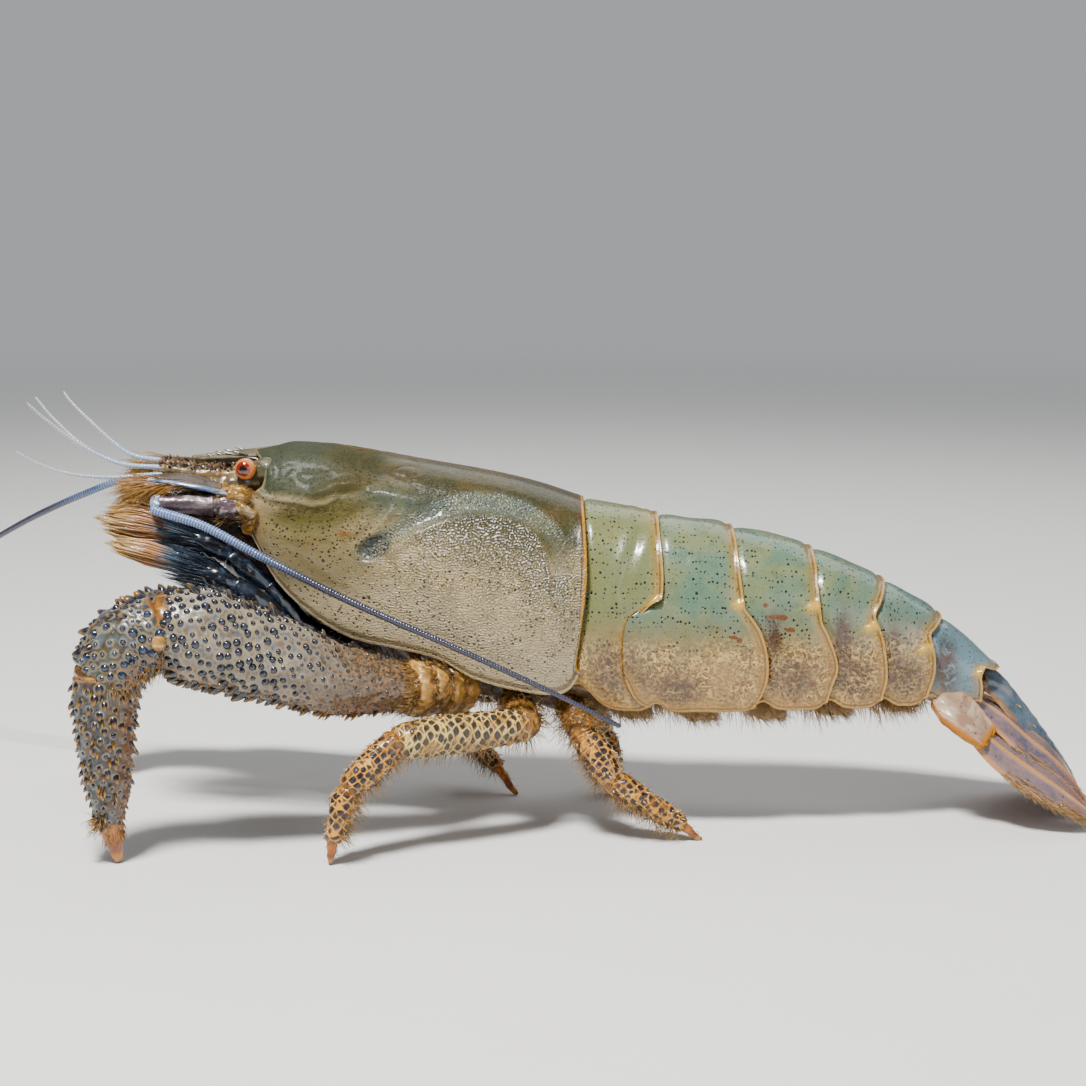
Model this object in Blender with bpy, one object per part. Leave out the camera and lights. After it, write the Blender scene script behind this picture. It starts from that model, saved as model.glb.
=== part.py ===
"""Giant African filter shrimp, an old male, standing: a still, life-size model.

The head points along -X, the tail along +X, the left side faces -Y and the
feet stand on Z = 0. Sizes below are in millimetres and become metres in place().
"""

import math

import bmesh
import bpy
from mathutils import Vector

MODEL_NAME = "filter_shrimp"
MM = 0.001
GAP = 0.3                      # clearance between neighbouring pieces
HALF_GAP = 0.17                # each leg piece stops this far short of a joint
MIDDLE_X = 10.85               # moves the animal so that its box is centred on the origin
MIDDLE_Y = -6.86
LEFT = -1.0
RIGHT = 1.0

# Carapace, seen from the side: height of the back and of the lower margin along X.
CARAPACE_BACK = ((-38.6, 49.0), (-35.5, 49.5), (-32.5, 50.1), (-26.0, 49.6), (-16.0, 47.8),
                 (-6.0, 46.0), (0.0, 44.5), (5.6, 42.6))
CARAPACE_MARGIN = ((-38.8, 41.2), (-37.3, 38.0), (-34.6, 33.1), (-29.9, 28.7), (-24.8, 25.9),
                   (-18.4, 24.5), (-13.5, 23.3), (-8.8, 20.7), (-2.3, 18.9), (2.2, 18.6), (4.9, 19.8))
CARAPACE_HALF_WIDTH = ((-38.8, 6.0), (-33.0, 8.4), (-25.0, 10.3), (-14.0, 11.5), (-4.0, 11.6),
                       (5.7, 10.9))
# Front and rear edges by height fraction, 0 at the margin and 1 on the back.
CARAPACE_FRONT = ((0.0, -38.7), (0.3, -38.4), (0.52, -37.5), (0.72, -36.0), (0.88, -36.0),
                  (1.0, -37.6))
CARAPACE_REAR = ((0.0, 4.8), (0.1, 4.3), (0.3, 5.0), (0.6, 5.6), (1.0, 5.3))
CARAPACE_ROWS = (0.0, 0.05, 0.13, 0.24, 0.36, 0.48, 0.60, 0.71, 0.81, 0.89, 0.95, 0.985, 1.0)
CARAPACE_RINGS = 13
MARGIN_ANGLE = math.radians(-32.0)   # how far the flank curls under at the margin
SECTION_POWER = 0.8                  # under 1 gives fuller shoulders than an ellipse

ROSTRUM_BASE_X = -33.5
ROSTRUM_TIP_X = -45.6
ROSTRUM_TIP_Z = 47.9
ROSTRUM_HALF_WIDTH = 2.7
ROSTRUM_TIP_HALF_WIDTH = 0.3
ROSTRUM_TAPER = 0.8                  # under 1 keeps the sides wide for longer
ROSTRUM_THICKNESS = 1.5
ROSTRUM_THINNING = 0.55              # share of the thickness lost towards the tip
ROSTRUM_KEEL = ((0.55, 0.3), (1.0, 0.75))   # share of the half width, share of the thickness down
ROSTRUM_STATIONS = (0.0, 0.35, 0.65, 0.9, 1.0)

# Abdomen: back, half width, and the rear edge of each ring by height fraction.
ABDOMEN_BACK = ((5.4, 42.6), (15.0, 40.7), (25.0, 39.0), (35.4, 36.2), (44.9, 32.0),
                (52.6, 27.2), (56.8, 24.3), (60.6, 20.0))
ABDOMEN_HALF_WIDTH = ((5.4, 10.6), (15.0, 10.9), (25.0, 10.7), (35.0, 9.8), (44.5, 8.2),
                      (52.0, 6.3), (60.6, 4.7))
ABDOMEN_REAR_EDGES = (
    ((0.0, 14.4), (0.05, 13.0), (0.1, 12.1), (0.2, 11.2), (0.38, 11.1), (0.47, 11.6),
     (0.54, 13.2), (0.60, 15.2), (1.0, 15.0)),
    ((0.0, 27.2), (0.05, 28.2), (0.16, 28.9), (0.3, 28.8), (0.45, 27.9), (0.54, 26.8),
     (0.60, 25.9), (1.0, 24.9)),
    ((0.0, 36.8), (0.12, 37.4), (0.27, 38.0), (0.47, 36.8), (0.6, 35.8), (1.0, 35.4)),
    ((0.0, 44.0), (0.2, 44.6), (0.47, 44.2), (0.60, 43.6), (0.7, 43.0), (0.8, 43.7), (1.0, 44.9)),
    ((0.0, 50.2), (0.2, 50.9), (0.38, 51.1), (0.54, 50.9), (0.70, 50.5), (0.8, 51.2), (1.0, 52.6)),
    ((0.0, 57.6), (0.3, 57.6), (0.54, 57.4), (0.70, 58.0), (0.8, 59.4), (1.0, 60.5)),
)
ABDOMEN_ROWS = (0.0, 0.05, 0.12, 0.20, 0.30, 0.38, 0.47, 0.54, 0.60, 0.70, 0.80, 0.89, 0.956,
                0.989, 1.0)
ABDOMEN_STEPS = (0.0, 0.14, 0.5, 0.84, 1.0)
PLEURON_MARGIN_Z = 16.4
PLEURON_NOTCH = 1.1                  # how far the margin rises between two side plates
PLEURON_NOTCH_WIDTH = 1.3
PLEURON_NOTCHES_X = (14.6, 28.4, 37.2, 44.2, 50.5)
FIRST_PLEURON_RISE = 3.4
PLEURON_ANGLE = math.radians(-24.0)
FIRST_PLEURON_X = 4.4
FIRST_PLEURON_LENGTH = 2.8
RING_STEP = 0.35                     # each ring's rear edge stands proud of the next ring
RING_STEP_MIDDLE = 0.45              # place along a ring where its size is the nominal one
RING_DIP = 0.25                      # the back dips where two rings meet
RING_DIP_LENGTH = 1.1

# Tail fan blades: centre line, half widths along it, and the way the blade is broad.
TELSON_LINE = ((61.4, 0.0, 17.0), (63.6, 0.0, 14.7), (68.2, 0.0, 9.0), (70.9, 0.0, 5.2),
               (72.65, 0.0, 2.0))
TELSON_HALF_WIDTHS = (3.5, 3.5, 2.8, 2.2, 1.4)
TELSON_HALF_THICKNESS = 0.8
EXOPOD_LINE = ((53.7, 5.7, 15.5), (56.2, 6.7, 14.0), (59.1, 7.7, 11.8), (62.1, 8.5, 9.7),
               (65.4, 9.2, 7.4), (68.5, 9.7, 5.1), (71.3, 9.9, 2.9))
EXOPOD_HALF_WIDTHS = (1.8, 2.5, 2.6, 2.6, 2.4, 2.0, 1.1)
EXOPOD_BROAD = (0.3, 1.0, -1.1)
ENDOPOD_LINE = ((58.6, 4.2, 15.3), (60.6, 4.5, 13.6), (63.6, 4.8, 11.2), (66.6, 5.1, 8.8),
                (69.4, 5.3, 6.0), (72.45, 5.4, 1.9))
ENDOPOD_HALF_WIDTHS = (1.1, 1.5, 1.9, 1.9, 1.7, 1.0)
ENDOPOD_BROAD = (0.25, 1.0, -1.0)
FAN_HALF_THICKNESS = 0.4
BLADE_THINNING = 0.35                # share of a blade's thickness lost towards its tip

# Eyes.
EYE_CENTRE = (-38.3, 5.2, 47.25)
EYE_RADIUS = 1.4
STALK_ROOT = (-36.9, 2.3, 47.0)
STALK_RADIUS = 0.85

# Walking legs: (place of each joint), left leg first; y is the distance from the middle.
THIRD_LEGS = {
    LEFT: ((-10.2, 6.6, 18.6), (-17.7, 12.4, 20.0), (-47.0, 19.6, 29.6), (-54.3, 21.4, 23.6),
           (-53.9, 21.9, 5.4), (-52.9, 22.0, 0.0)),
    RIGHT: ((-10.2, 6.6, 18.4), (-17.4, 12.2, 18.2), (-49.3, 15.6, 22.8), (-59.2, 16.4, 19.8),
            (-61.4, 16.8, 4.9), (-61.0, 16.9, 0.0)),
}
# Along the merus: place between its joints, radius, and how far it hangs below their line.
MERUS_STATIONS = ((0.16, 4.1, 0.7), (0.34, 4.9, 1.1), (0.55, 5.6, 0.4), (0.75, 6.1, 0.0),
                  (0.89, 6.1, 0.0))
FOURTH_LEGS = {
    LEFT: ((-3.8, 6.0, 16.4), (-2.2, 11.4, 14.9), (-18.4, 18.8, 14.7), (-24.2, 21.5, 9.3),
           (-26.1, 22.7, 3.1), (-26.5, 23.0, 0.0)),
    RIGHT: ((-3.8, 6.0, 16.4), (-2.6, 11.4, 14.6), (-13.4, 16.6, 13.6), (-11.6, 13.8, 7.6),
            (-6.2, 9.6, 3.3), (-3.6, 7.0, 0.0)),
}
FIFTH_LEGS = {
    LEFT: ((3.4, 5.4, 16.0), (5.0, 10.4, 13.9), (8.9, 12.2, 7.7), (13.6, 12.7, 4.8),
           (18.0, 12.9, 2.0), (20.4, 13.0, 0.0)),
    RIGHT: ((3.4, 5.4, 16.0), (5.2, 9.8, 13.4), (8.4, 11.2, 7.6), (9.6, 9.2, 4.2),
            (9.6, 7.2, 1.9), (9.2, 6.0, 0.0)),
}
THIRD_BASE_RADII = (2.3, 3.1, 3.4, 3.0)
MERUS_START_RADIUS = 3.1
MERUS_FLATNESS = 0.94                # half width over half height
MERUS_END_SIZE = (4.3, 4.7)          # half width and half height
CARPUS_SIZES = ((4.2, 4.5), (4.6, 5.0), (4.1, 4.3))
CARPUS_BOW = 1.3
PROPODUS_START_SIZE = (4.0, 4.2)
PROPODUS_STATIONS = ((0.28, 3.9), (0.55, 3.5), (0.82, 2.8))
PROPODUS_END_RADIUS = 1.9
DACTYL_START_RADIUS = 1.7
DACTYL_STATIONS = ((0.45, 1.4), (0.85, 0.8))
FOOT_RADIUS = {"third": 0.6, "fourth": 0.4, "fifth": 0.4}
# Slender legs: radii at the base, merus, wrist and ankle, and how the merus swells.
SLENDER_SIZES = {"fourth": (2.3, 2.55, 1.95, 1.35), "fifth": (2.0, 2.2, 1.75, 1.25)}
SLENDER_MERUS_SWELL = ((0.3, 0.98), (0.65, 1.05), (1.0, 0.95))
SLENDER_KNEE_SHARES = (0.75, 0.72)   # of the merus radius, above and below the knee
SLENDER_KNEE_CLEAR = 0.4

# Filter-feeding legs: joints of the left arm and the brush that it ends in.
FILTER_ARMS = {
    "first": ((-25.8, 4.4, 24.0), (-31.4, 5.0, 26.9), (-36.0, 5.7, 32.0), (-40.6, 6.2, 36.0),
              (-45.6, 6.2, 38.6)),
    "second": ((-21.2, 5.1, 20.5), (-28.0, 6.7, 22.6), (-34.4, 8.7, 28.6), (-39.8, 9.0, 32.8),
               (-44.6, 8.9, 34.9)),
}
FILTER_FANS = {
    "first": ((-46.0, 6.2, 38.9), (-57.2, 6.0, 41.2), (1.5, 2.5, 3.0, 2.6, 1.3)),
    "second": ((-45.0, 8.9, 35.2), (-55.4, 8.6, 38.3), (1.2, 1.5, 1.7, 1.6, 0.9)),
}
FILTER_FAN_THICKNESS = 1.15
FILTER_FAN_THINNING = 0.3
# Along an arm: half width and half height at hip, ischium, merus, elbow, carpus, wrist,
# palm and claw.
FILTER_ARM_SIZES = ((1.0, 1.1), (1.3, 1.4), (1.35, 1.6), (1.3, 1.5), (1.4, 1.7), (1.4, 1.6),
                    (1.3, 1.6), (1.1, 1.4))

# Feelers: control points of each centre line, with the radius at root and tip.
ANTENNULE_PEDUNCLE = ((-39.7, 2.2, 45.9), (-44.8, 2.3, 46.2), (-49.6, 2.3, 46.8))
ANTENNULE_PEDUNCLE_RADII = (1.05, 0.95, 0.8)
ANTENNA_PEDUNCLES = {
    LEFT: ((-39.4, 6.3, 42.6), (-43.6, 6.9, 42.8), (-49.8, 7.3, 43.0)),
    RIGHT: ((-39.4, 6.3, 43.0), (-43.6, 6.9, 43.6), (-49.8, 7.3, 44.6)),
}
ANTENNA_PEDUNCLE_RADII = (1.3, 1.2, 0.95)
SCALE_LINES = {
    LEFT: ((-40.6, 6.0, 44.8), (-43.1, 5.9, 45.5), (-45.6, 5.7, 45.9), (-48.1, 5.6, 46.1),
           (-50.6, 5.4, 46.0)),
    RIGHT: ((-40.6, 6.0, 45.4), (-43.1, 5.9, 46.2), (-45.6, 5.7, 46.8), (-48.1, 5.6, 47.1),
            (-50.6, 5.4, 47.2)),
}
SCALE_HALF_WIDTHS = (1.2, 2.0, 2.2, 1.9, 1.0)
SCALE_BROAD = (0.0, 1.0, -0.25)
SCALE_HALF_THICKNESS = 0.32
FLAGELLA = {
    "antennule_upper_left": (((-50.1, -2.6, 47.1), (-55.1, -2.4, 47.6), (-60.1, -3.0, 50.2),
                              (-64.4, -4.0, 53.8), (-66.0, -4.6, 55.5)), 0.34, 0.25),
    "antennule_upper_right": (((-50.1, 2.6, 47.2), (-54.8, 2.8, 48.2), (-60.1, 3.6, 52.6),
                               (-62.5, 4.2, 54.9), (-63.4, 4.6, 56.1)), 0.34, 0.25),
    "antennule_lower_left": (((-50.1, -2.9, 46.2), (-56.0, -4.2, 46.0), (-61.2, -5.4, 46.7),
                              (-64.6, -6.2, 48.0), (-67.0, -6.8, 49.5)), 0.32, 0.25),
    "antennule_lower_right": (((-50.1, 2.9, 46.2), (-56.4, 4.6, 46.6), (-62.0, 6.4, 49.2),
                               (-66.0, 7.6, 52.6), (-68.0, 8.2, 54.9)), 0.32, 0.25),
    "antenna_flagellum_left": (((-49.2, -8.8, 42.3), (-43.1, -10.2, 40.6), (-35.6, -11.4, 36.8),
                                (-24.5, -12.3, 31.3), (-11.9, -12.8, 25.7), (0.9, -12.9, 19.7),
                                (9.7, -12.9, 15.2)), 0.58, 0.26),
    "antenna_flagellum_right": (((-50.3, 7.6, 44.7), (-55.2, 8.6, 44.4), (-62.6, 10.8, 41.6),
                                 (-70.6, 14.6, 37.8), (-80.0, 21.6, 32.4), (-88.6, 30.4, 27.6),
                                 (-94.6, 39.0, 25.0)), 0.5, 0.25),
}
FLAGELLUM_POINTS = 13

# Mouth parts, swimmerets and the underside of the thorax.
MAXILLIPED = ((-32.3, 1.9, 27.6), (-36.8, 2.3, 33.6), (-41.2, 2.5, 37.4), (-45.2, 2.5, 39.6))
MAXILLIPED_RADII = (1.2, 1.35, 1.2, 0.6)
STERNUM_X = (-31.0, 4.2)
STERNUM_HALF_WIDTHS = (2.6, 4.6)
STERNUM_DEPTH = ((-31.0, 1.6), (-22.0, 3.4), (-10.0, 4.0), (4.2, 3.0))
STERNUM_CLEARANCE = 0.45
STERNUM_KEEL = ((0.95, 0.6), (0.45, 1.0))   # share of the half width, share of the depth
STERNUM_STEPS = 9
SWIMMERET_X = (7.0, 49.0)
SWIMMERET_COUNT = 5
SWIMMERET_DEPTH = 3.6
SWIMMERET_TOP_CLEARANCE = 0.4
SWIMMERET_HALF_WIDTH_SHARE = 0.62    # of the abdomen's half width
SWIMMERET_STEPS = 4                  # cross-sections for each leaf

SHELL_OLIVE = (0.20, 0.21, 0.13)
SHELL_GREEN = (0.27, 0.33, 0.25)
SHELL_TAN = (0.40, 0.33, 0.22)
LEG_GREY = (0.30, 0.26, 0.20)
LEG_SLATE = (0.12, 0.14, 0.15)
LEG_CREAM = (0.55, 0.42, 0.25)
BRISTLE_TAN = (0.45, 0.28, 0.13)
ARM_BLUE = (0.04, 0.06, 0.10)
FEELER_BLUE = (0.28, 0.38, 0.55)
EYE_ORANGE = (0.62, 0.22, 0.10)


def place(x, y, z):
    """A point in metres from sizes in millimetres."""
    return Vector(((x + MIDDLE_X) * MM, (y + MIDDLE_Y) * MM, z * MM))


def table_value(table, at):
    """Smooth value of a short table of (place, value) pairs."""
    if at <= table[0][0]:
        return table[0][1]
    if at >= table[-1][0]:
        return table[-1][1]
    last = len(table) - 1
    i = max(k for k in range(last) if table[k][0] <= at)
    x0, v0 = table[i]
    x1, v1 = table[i + 1]
    before = table[max(i - 1, 0)]
    after = table[min(i + 2, last)]
    slope0 = (v1 - before[1]) / (x1 - before[0])
    slope1 = (after[1] - v0) / (after[0] - x0)
    span = x1 - x0
    t = (at - x0) / span
    return ((2 * t ** 3 - 3 * t ** 2 + 1) * v0 + (t ** 3 - 2 * t ** 2 + t) * span * slope0
            + (3 * t ** 2 - 2 * t ** 3) * v1 + (t ** 3 - t ** 2) * span * slope1)


def straight_value(table, at):
    """Value of a short table of (place, value) pairs with straight runs between them."""
    if at <= table[0][0]:
        return table[0][1]
    for (x0, v0), (x1, v1) in zip(table, table[1:]):
        if at <= x1:
            return v0 + (v1 - v0) * (at - x0) / (x1 - x0)
    return table[-1][1]


def clear_scene():
    for scene_object in list(bpy.data.objects):
        bpy.data.objects.remove(scene_object, do_unlink=True)


def new_collection(name):
    collection = bpy.data.collections.new(name)
    bpy.context.scene.collection.children.link(collection)
    return collection


def finish(name, source, colour, roughness, collection):
    """Makes the named object from a bmesh or a curve, with its own material."""
    if isinstance(source, bmesh.types.BMesh):
        bmesh.ops.recalc_face_normals(source, faces=source.faces)
        mesh = bpy.data.meshes.new(name)
        source.to_mesh(mesh)
        source.free()
        mesh.shade_smooth()
    else:
        mesh = source
    piece = bpy.data.objects.new(name, mesh)
    material = bpy.data.materials.new(name)
    material.use_nodes = True
    shader = material.node_tree.nodes["Principled BSDF"]
    shader.inputs["Base Color"].default_value = (*colour, 1.0)
    shader.inputs["Roughness"].default_value = roughness
    shader.inputs["Metallic"].default_value = 0.0
    mesh.materials.append(material)
    collection.objects.link(piece)
    return piece


def add_ring(bm, points):
    return [bm.verts.new(point) for point in points]


def join_rings(bm, first, second):
    count = len(first)
    for i in range(count):
        j = (i + 1) % count
        bm.faces.new((first[i], first[j], second[j], second[i]))


def ladder_cap(bm, ring):
    """Closes a ring whose left and right points lie in pairs at equal heights."""
    count = len(ring)
    half = count // 2
    for i in range(half - 1):
        bm.faces.new((ring[i], ring[i + 1], ring[count - 2 - i], ring[count - 1 - i]))
    bm.faces.new((ring[half - 1], ring[half], ring[half + 1]))


def body_section(x_of, back_of, margin_of, width_of, rows, angle, grow):
    """Ring of points over the back, from the left margin to the right one."""
    low = math.sin(angle)
    left = []
    for row in rows:
        x = x_of(row)
        bottom = margin_of(x)
        top = back_of(x) + grow
        lift = min(low + row * (1.0 - low), 1.0)
        y = (width_of(x) + grow) * math.cos(math.asin(lift)) ** SECTION_POWER
        left.append((x, y, bottom + (top - bottom) * row))
    points = [place(x, -y, z) for x, y, z in left]
    points += [place(x, y, z) for x, y, z in reversed(left[:-1])]
    return points


def build_shell(bm, sections):
    rings = [add_ring(bm, points) for points in sections]
    for first, second in zip(rings, rings[1:]):
        join_rings(bm, first, second)
    ladder_cap(bm, rings[0])
    ladder_cap(bm, rings[-1])


def carapace_mesh():
    bm = bmesh.new()
    sections = []
    for k in range(CARAPACE_RINGS):
        t = (k / (CARAPACE_RINGS - 1)) ** 1.25

        def x_of(row, t=t):
            front = table_value(CARAPACE_FRONT, row)
            rear = table_value(CARAPACE_REAR, row)
            return front + (rear - front) * t

        sections.append(body_section(
            x_of,
            lambda x: table_value(CARAPACE_BACK, x),
            lambda x: table_value(CARAPACE_MARGIN, x),
            lambda x: table_value(CARAPACE_HALF_WIDTH, x),
            CARAPACE_ROWS, MARGIN_ANGLE, 0.0))
    build_shell(bm, sections)
    return bm


def rostrum_mesh():
    """A flat triangular spike with a low keel, rooted inside the carapace."""
    bm = bmesh.new()
    rings = []
    root_z = table_value(CARAPACE_BACK, ROSTRUM_BASE_X) - 0.4
    (shoulder, shoulder_drop), (edge, edge_drop) = ROSTRUM_KEEL
    for t in ROSTRUM_STATIONS:
        x = ROSTRUM_BASE_X + (ROSTRUM_TIP_X - ROSTRUM_BASE_X) * t
        top = root_z + (ROSTRUM_TIP_Z + 0.3 - root_z) * t
        half_width = ROSTRUM_HALF_WIDTH * (1.0 - t) ** ROSTRUM_TAPER + ROSTRUM_TIP_HALF_WIDTH
        thick = ROSTRUM_THICKNESS * (1.0 - ROSTRUM_THINNING * t)
        rings.append(add_ring(bm, (
            place(x, 0.0, top),
            place(x, half_width * shoulder, top - thick * shoulder_drop),
            place(x, half_width * edge, top - thick * edge_drop),
            place(x, 0.0, top - thick),
            place(x, -half_width * edge, top - thick * edge_drop),
            place(x, -half_width * shoulder, top - thick * shoulder_drop))))
    for first, second in zip(rings, rings[1:]):
        join_rings(bm, first, second)
    bm.faces.new(rings[0])
    bm.faces.new(rings[-1])
    return bm


def join_solids(piece, other):
    """Unites other, which stays hidden, into piece."""
    union = piece.modifiers.new("Union", "BOOLEAN")
    union.operation = "UNION"
    union.solver = "EXACT"
    union.object = other
    other.hide_render = True
    other.display_type = "WIRE"


def abdomen_back(x):
    dips = sum(math.exp(-((x - edge[-1][1]) / RING_DIP_LENGTH) ** 2)
               for edge in ABDOMEN_REAR_EDGES[:-1])
    return table_value(ABDOMEN_BACK, x) - RING_DIP * dips


def abdomen_margin(x):
    notches = sum(math.exp(-((x - at) / PLEURON_NOTCH_WIDTH) ** 2) for at in PLEURON_NOTCHES_X)
    front = math.exp(-((x - FIRST_PLEURON_X) / FIRST_PLEURON_LENGTH) ** 2)
    return PLEURON_MARGIN_Z + PLEURON_NOTCH * notches + FIRST_PLEURON_RISE * front


def abdomen_mesh(number):
    front_edge = CARAPACE_REAR if number == 0 else ABDOMEN_REAR_EDGES[number - 1]
    rear_edge = ABDOMEN_REAR_EDGES[number]
    bm = bmesh.new()
    sections = []
    for t in ABDOMEN_STEPS:

        def x_of(row, t=t):
            front = straight_value(front_edge, row) + GAP
            rear = straight_value(rear_edge, row)
            return front + (rear - front) * t

        grow = RING_STEP * (t - RING_STEP_MIDDLE)
        sections.append(body_section(
            x_of, abdomen_back, abdomen_margin,
            lambda x: table_value(ABDOMEN_HALF_WIDTH, x),
            ABDOMEN_ROWS, PLEURON_ANGLE, grow))
    build_shell(bm, sections)
    return bm


def tube_mesh(stations, sides, broad=None, start_normal=None, end_normal=None,
              start_dome=0.4, end_dome=0.4):
    """Loft of ellipses along a path.

    stations are (centre, half width, half height). broad is the direction of
    the half width. A dome of 0 leaves that end flat.
    """
    centres = [Vector(station[0]) for station in stations]
    last = len(centres) - 1
    tangents = []
    for i, centre in enumerate(centres):
        ahead = (centres[min(i + 1, last)] - centre).normalized()
        behind = (centre - centres[max(i - 1, 0)]).normalized()
        tangents.append((ahead + behind).normalized())
    if start_normal is not None:
        tangents[0] = Vector(start_normal).normalized()
    if end_normal is not None:
        tangents[last] = Vector(end_normal).normalized()
    side = Vector(broad) if broad else Vector((0.0, 1.0, 0.0))
    if abs(side.normalized().dot(tangents[0])) > 0.8:
        side = Vector((1.0, 0.0, 0.0))
    bm = bmesh.new()
    rings = []
    for centre, tangent, station in zip(centres, tangents, stations):
        reference = Vector(broad) if broad else side
        side = (reference - tangent * reference.dot(tangent)).normalized()
        up = tangent.cross(side)
        ring = []
        for k in range(sides):
            turn = 2.0 * math.pi * k / sides
            offset = side * (station[1] * math.cos(turn)) + up * (station[2] * math.sin(turn))
            ring.append(bm.verts.new(place(*(centre + offset))))
        rings.append(ring)
    for first, second in zip(rings, rings[1:]):
        join_rings(bm, first, second)
    for ring, centre, tangent, dome in ((rings[0], centres[0], -tangents[0], start_dome),
                                        (rings[-1], centres[-1], tangents[-1], end_dome)):
        if dome:
            pole = bm.verts.new(place(*(centre + tangent * dome)))
            for k in range(sides):
                bm.faces.new((ring[k], ring[(k + 1) % sides], pole))
        else:
            bm.faces.new(ring)
    return bm


def mirrored(point, side):
    return (point[0], point[1] * side, point[2])


def between(a, b, t):
    return Vector(a).lerp(Vector(b), t)


def segment_stations(start, end, radii, clear_start, clear_end):
    """Stations of one leg segment, with radii at its start, first third, last third and end."""
    start = Vector(start)
    end = Vector(end)
    length = (end - start).length
    first = clear_start / length
    last = 1.0 - clear_end / length
    stations = []
    for fraction, radius in zip((0.0, 0.3, 0.72, 1.0), radii):
        t = first + (last - first) * fraction
        stations.append((start.lerp(end, t), radius, radius))
    return stations


def leaf_mesh(line, half_widths, half_thickness, broad, side):
    """A flat blade along a line, such as one of the tail fan, thinner towards its tip."""
    stations = []
    last = len(line) - 1
    for i, (centre, half_width) in enumerate(zip(line, half_widths)):
        thin = half_thickness * (1.0 - BLADE_THINNING * i / last)
        stations.append((mirrored(centre, side), half_width, thin))
    return tube_mesh(stations, 10, broad=mirrored(broad, side), start_dome=0.25, end_dome=0.7)


def bisector(a, b, c):
    return ((Vector(b) - Vector(a)).normalized() + (Vector(c) - Vector(b)).normalized()).normalized()


def third_leg(side, word, collection):
    """The massive leg: base, merus, carpus, propodus and the short dactyl."""
    joints = [mirrored(point, side) for point in THIRD_LEGS[side]]
    hip, ischium, knee, wrist, ankle, toe = joints
    knee_plane = bisector(ischium, knee, wrist)
    wrist_plane = bisector(knee, wrist, ankle)
    base = segment_stations(hip, ischium, THIRD_BASE_RADII, 0.0, HALF_GAP)
    ischium_plane = bisector(hip, ischium, knee)
    finish("third_leg_base_" + word,
           tube_mesh(base, 12, end_normal=ischium_plane, end_dome=0.0),
           LEG_CREAM, 0.5, collection)
    merus = [(Vector(ischium) + ischium_plane * HALF_GAP, MERUS_START_RADIUS, MERUS_START_RADIUS)]
    for t, radius, droop in MERUS_STATIONS:
        centre = between(ischium, knee, t) - Vector((0.0, 0.0, droop))
        merus.append((centre, radius * MERUS_FLATNESS, radius))
    merus.append((Vector(knee) - knee_plane * HALF_GAP, *MERUS_END_SIZE))
    finish("third_leg_merus_" + word,
           tube_mesh(merus, 16, start_normal=ischium_plane, end_normal=knee_plane,
                     start_dome=0.0, end_dome=0.0),
           LEG_GREY, 0.4, collection)
    middle = between(knee, wrist, 0.5)
    middle += (middle - between(ischium, ankle, 0.5)).normalized() * CARPUS_BOW
    places = (Vector(knee) + knee_plane * HALF_GAP, middle, Vector(wrist) - wrist_plane * HALF_GAP)
    carpus = [(centre, *size) for centre, size in zip(places, CARPUS_SIZES)]
    finish("third_leg_carpus_" + word,
           tube_mesh(carpus, 14, start_normal=knee_plane, end_normal=wrist_plane,
                     start_dome=0.0, end_dome=0.0),
           LEG_SLATE, 0.4, collection)
    ankle_plane = bisector(wrist, ankle, toe)
    propodus = [(Vector(wrist) + wrist_plane * HALF_GAP, *PROPODUS_START_SIZE)]
    for t, radius in PROPODUS_STATIONS:
        propodus.append((between(wrist, ankle, t), radius, radius))
    propodus.append((Vector(ankle) - ankle_plane * HALF_GAP, PROPODUS_END_RADIUS,
                     PROPODUS_END_RADIUS))
    finish("third_leg_propodus_" + word,
           tube_mesh(propodus, 14, start_normal=wrist_plane, end_normal=ankle_plane,
                     start_dome=0.0, end_dome=0.0),
           LEG_SLATE, 0.4, collection)
    foot = FOOT_RADIUS["third"]
    dactyl = [(Vector(ankle) + ankle_plane * HALF_GAP, DACTYL_START_RADIUS, DACTYL_START_RADIUS)]
    for t, radius in DACTYL_STATIONS:
        dactyl.append((between(ankle, toe, t), radius, radius))
    dactyl.append((toe, foot, foot))
    finish("third_leg_dactyl_" + word,
           tube_mesh(dactyl, 10, start_normal=ankle_plane, end_normal=(0.0, 0.0, -1.0),
                     start_dome=0.0, end_dome=0.0),
           LEG_CREAM, 0.35, collection)


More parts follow.
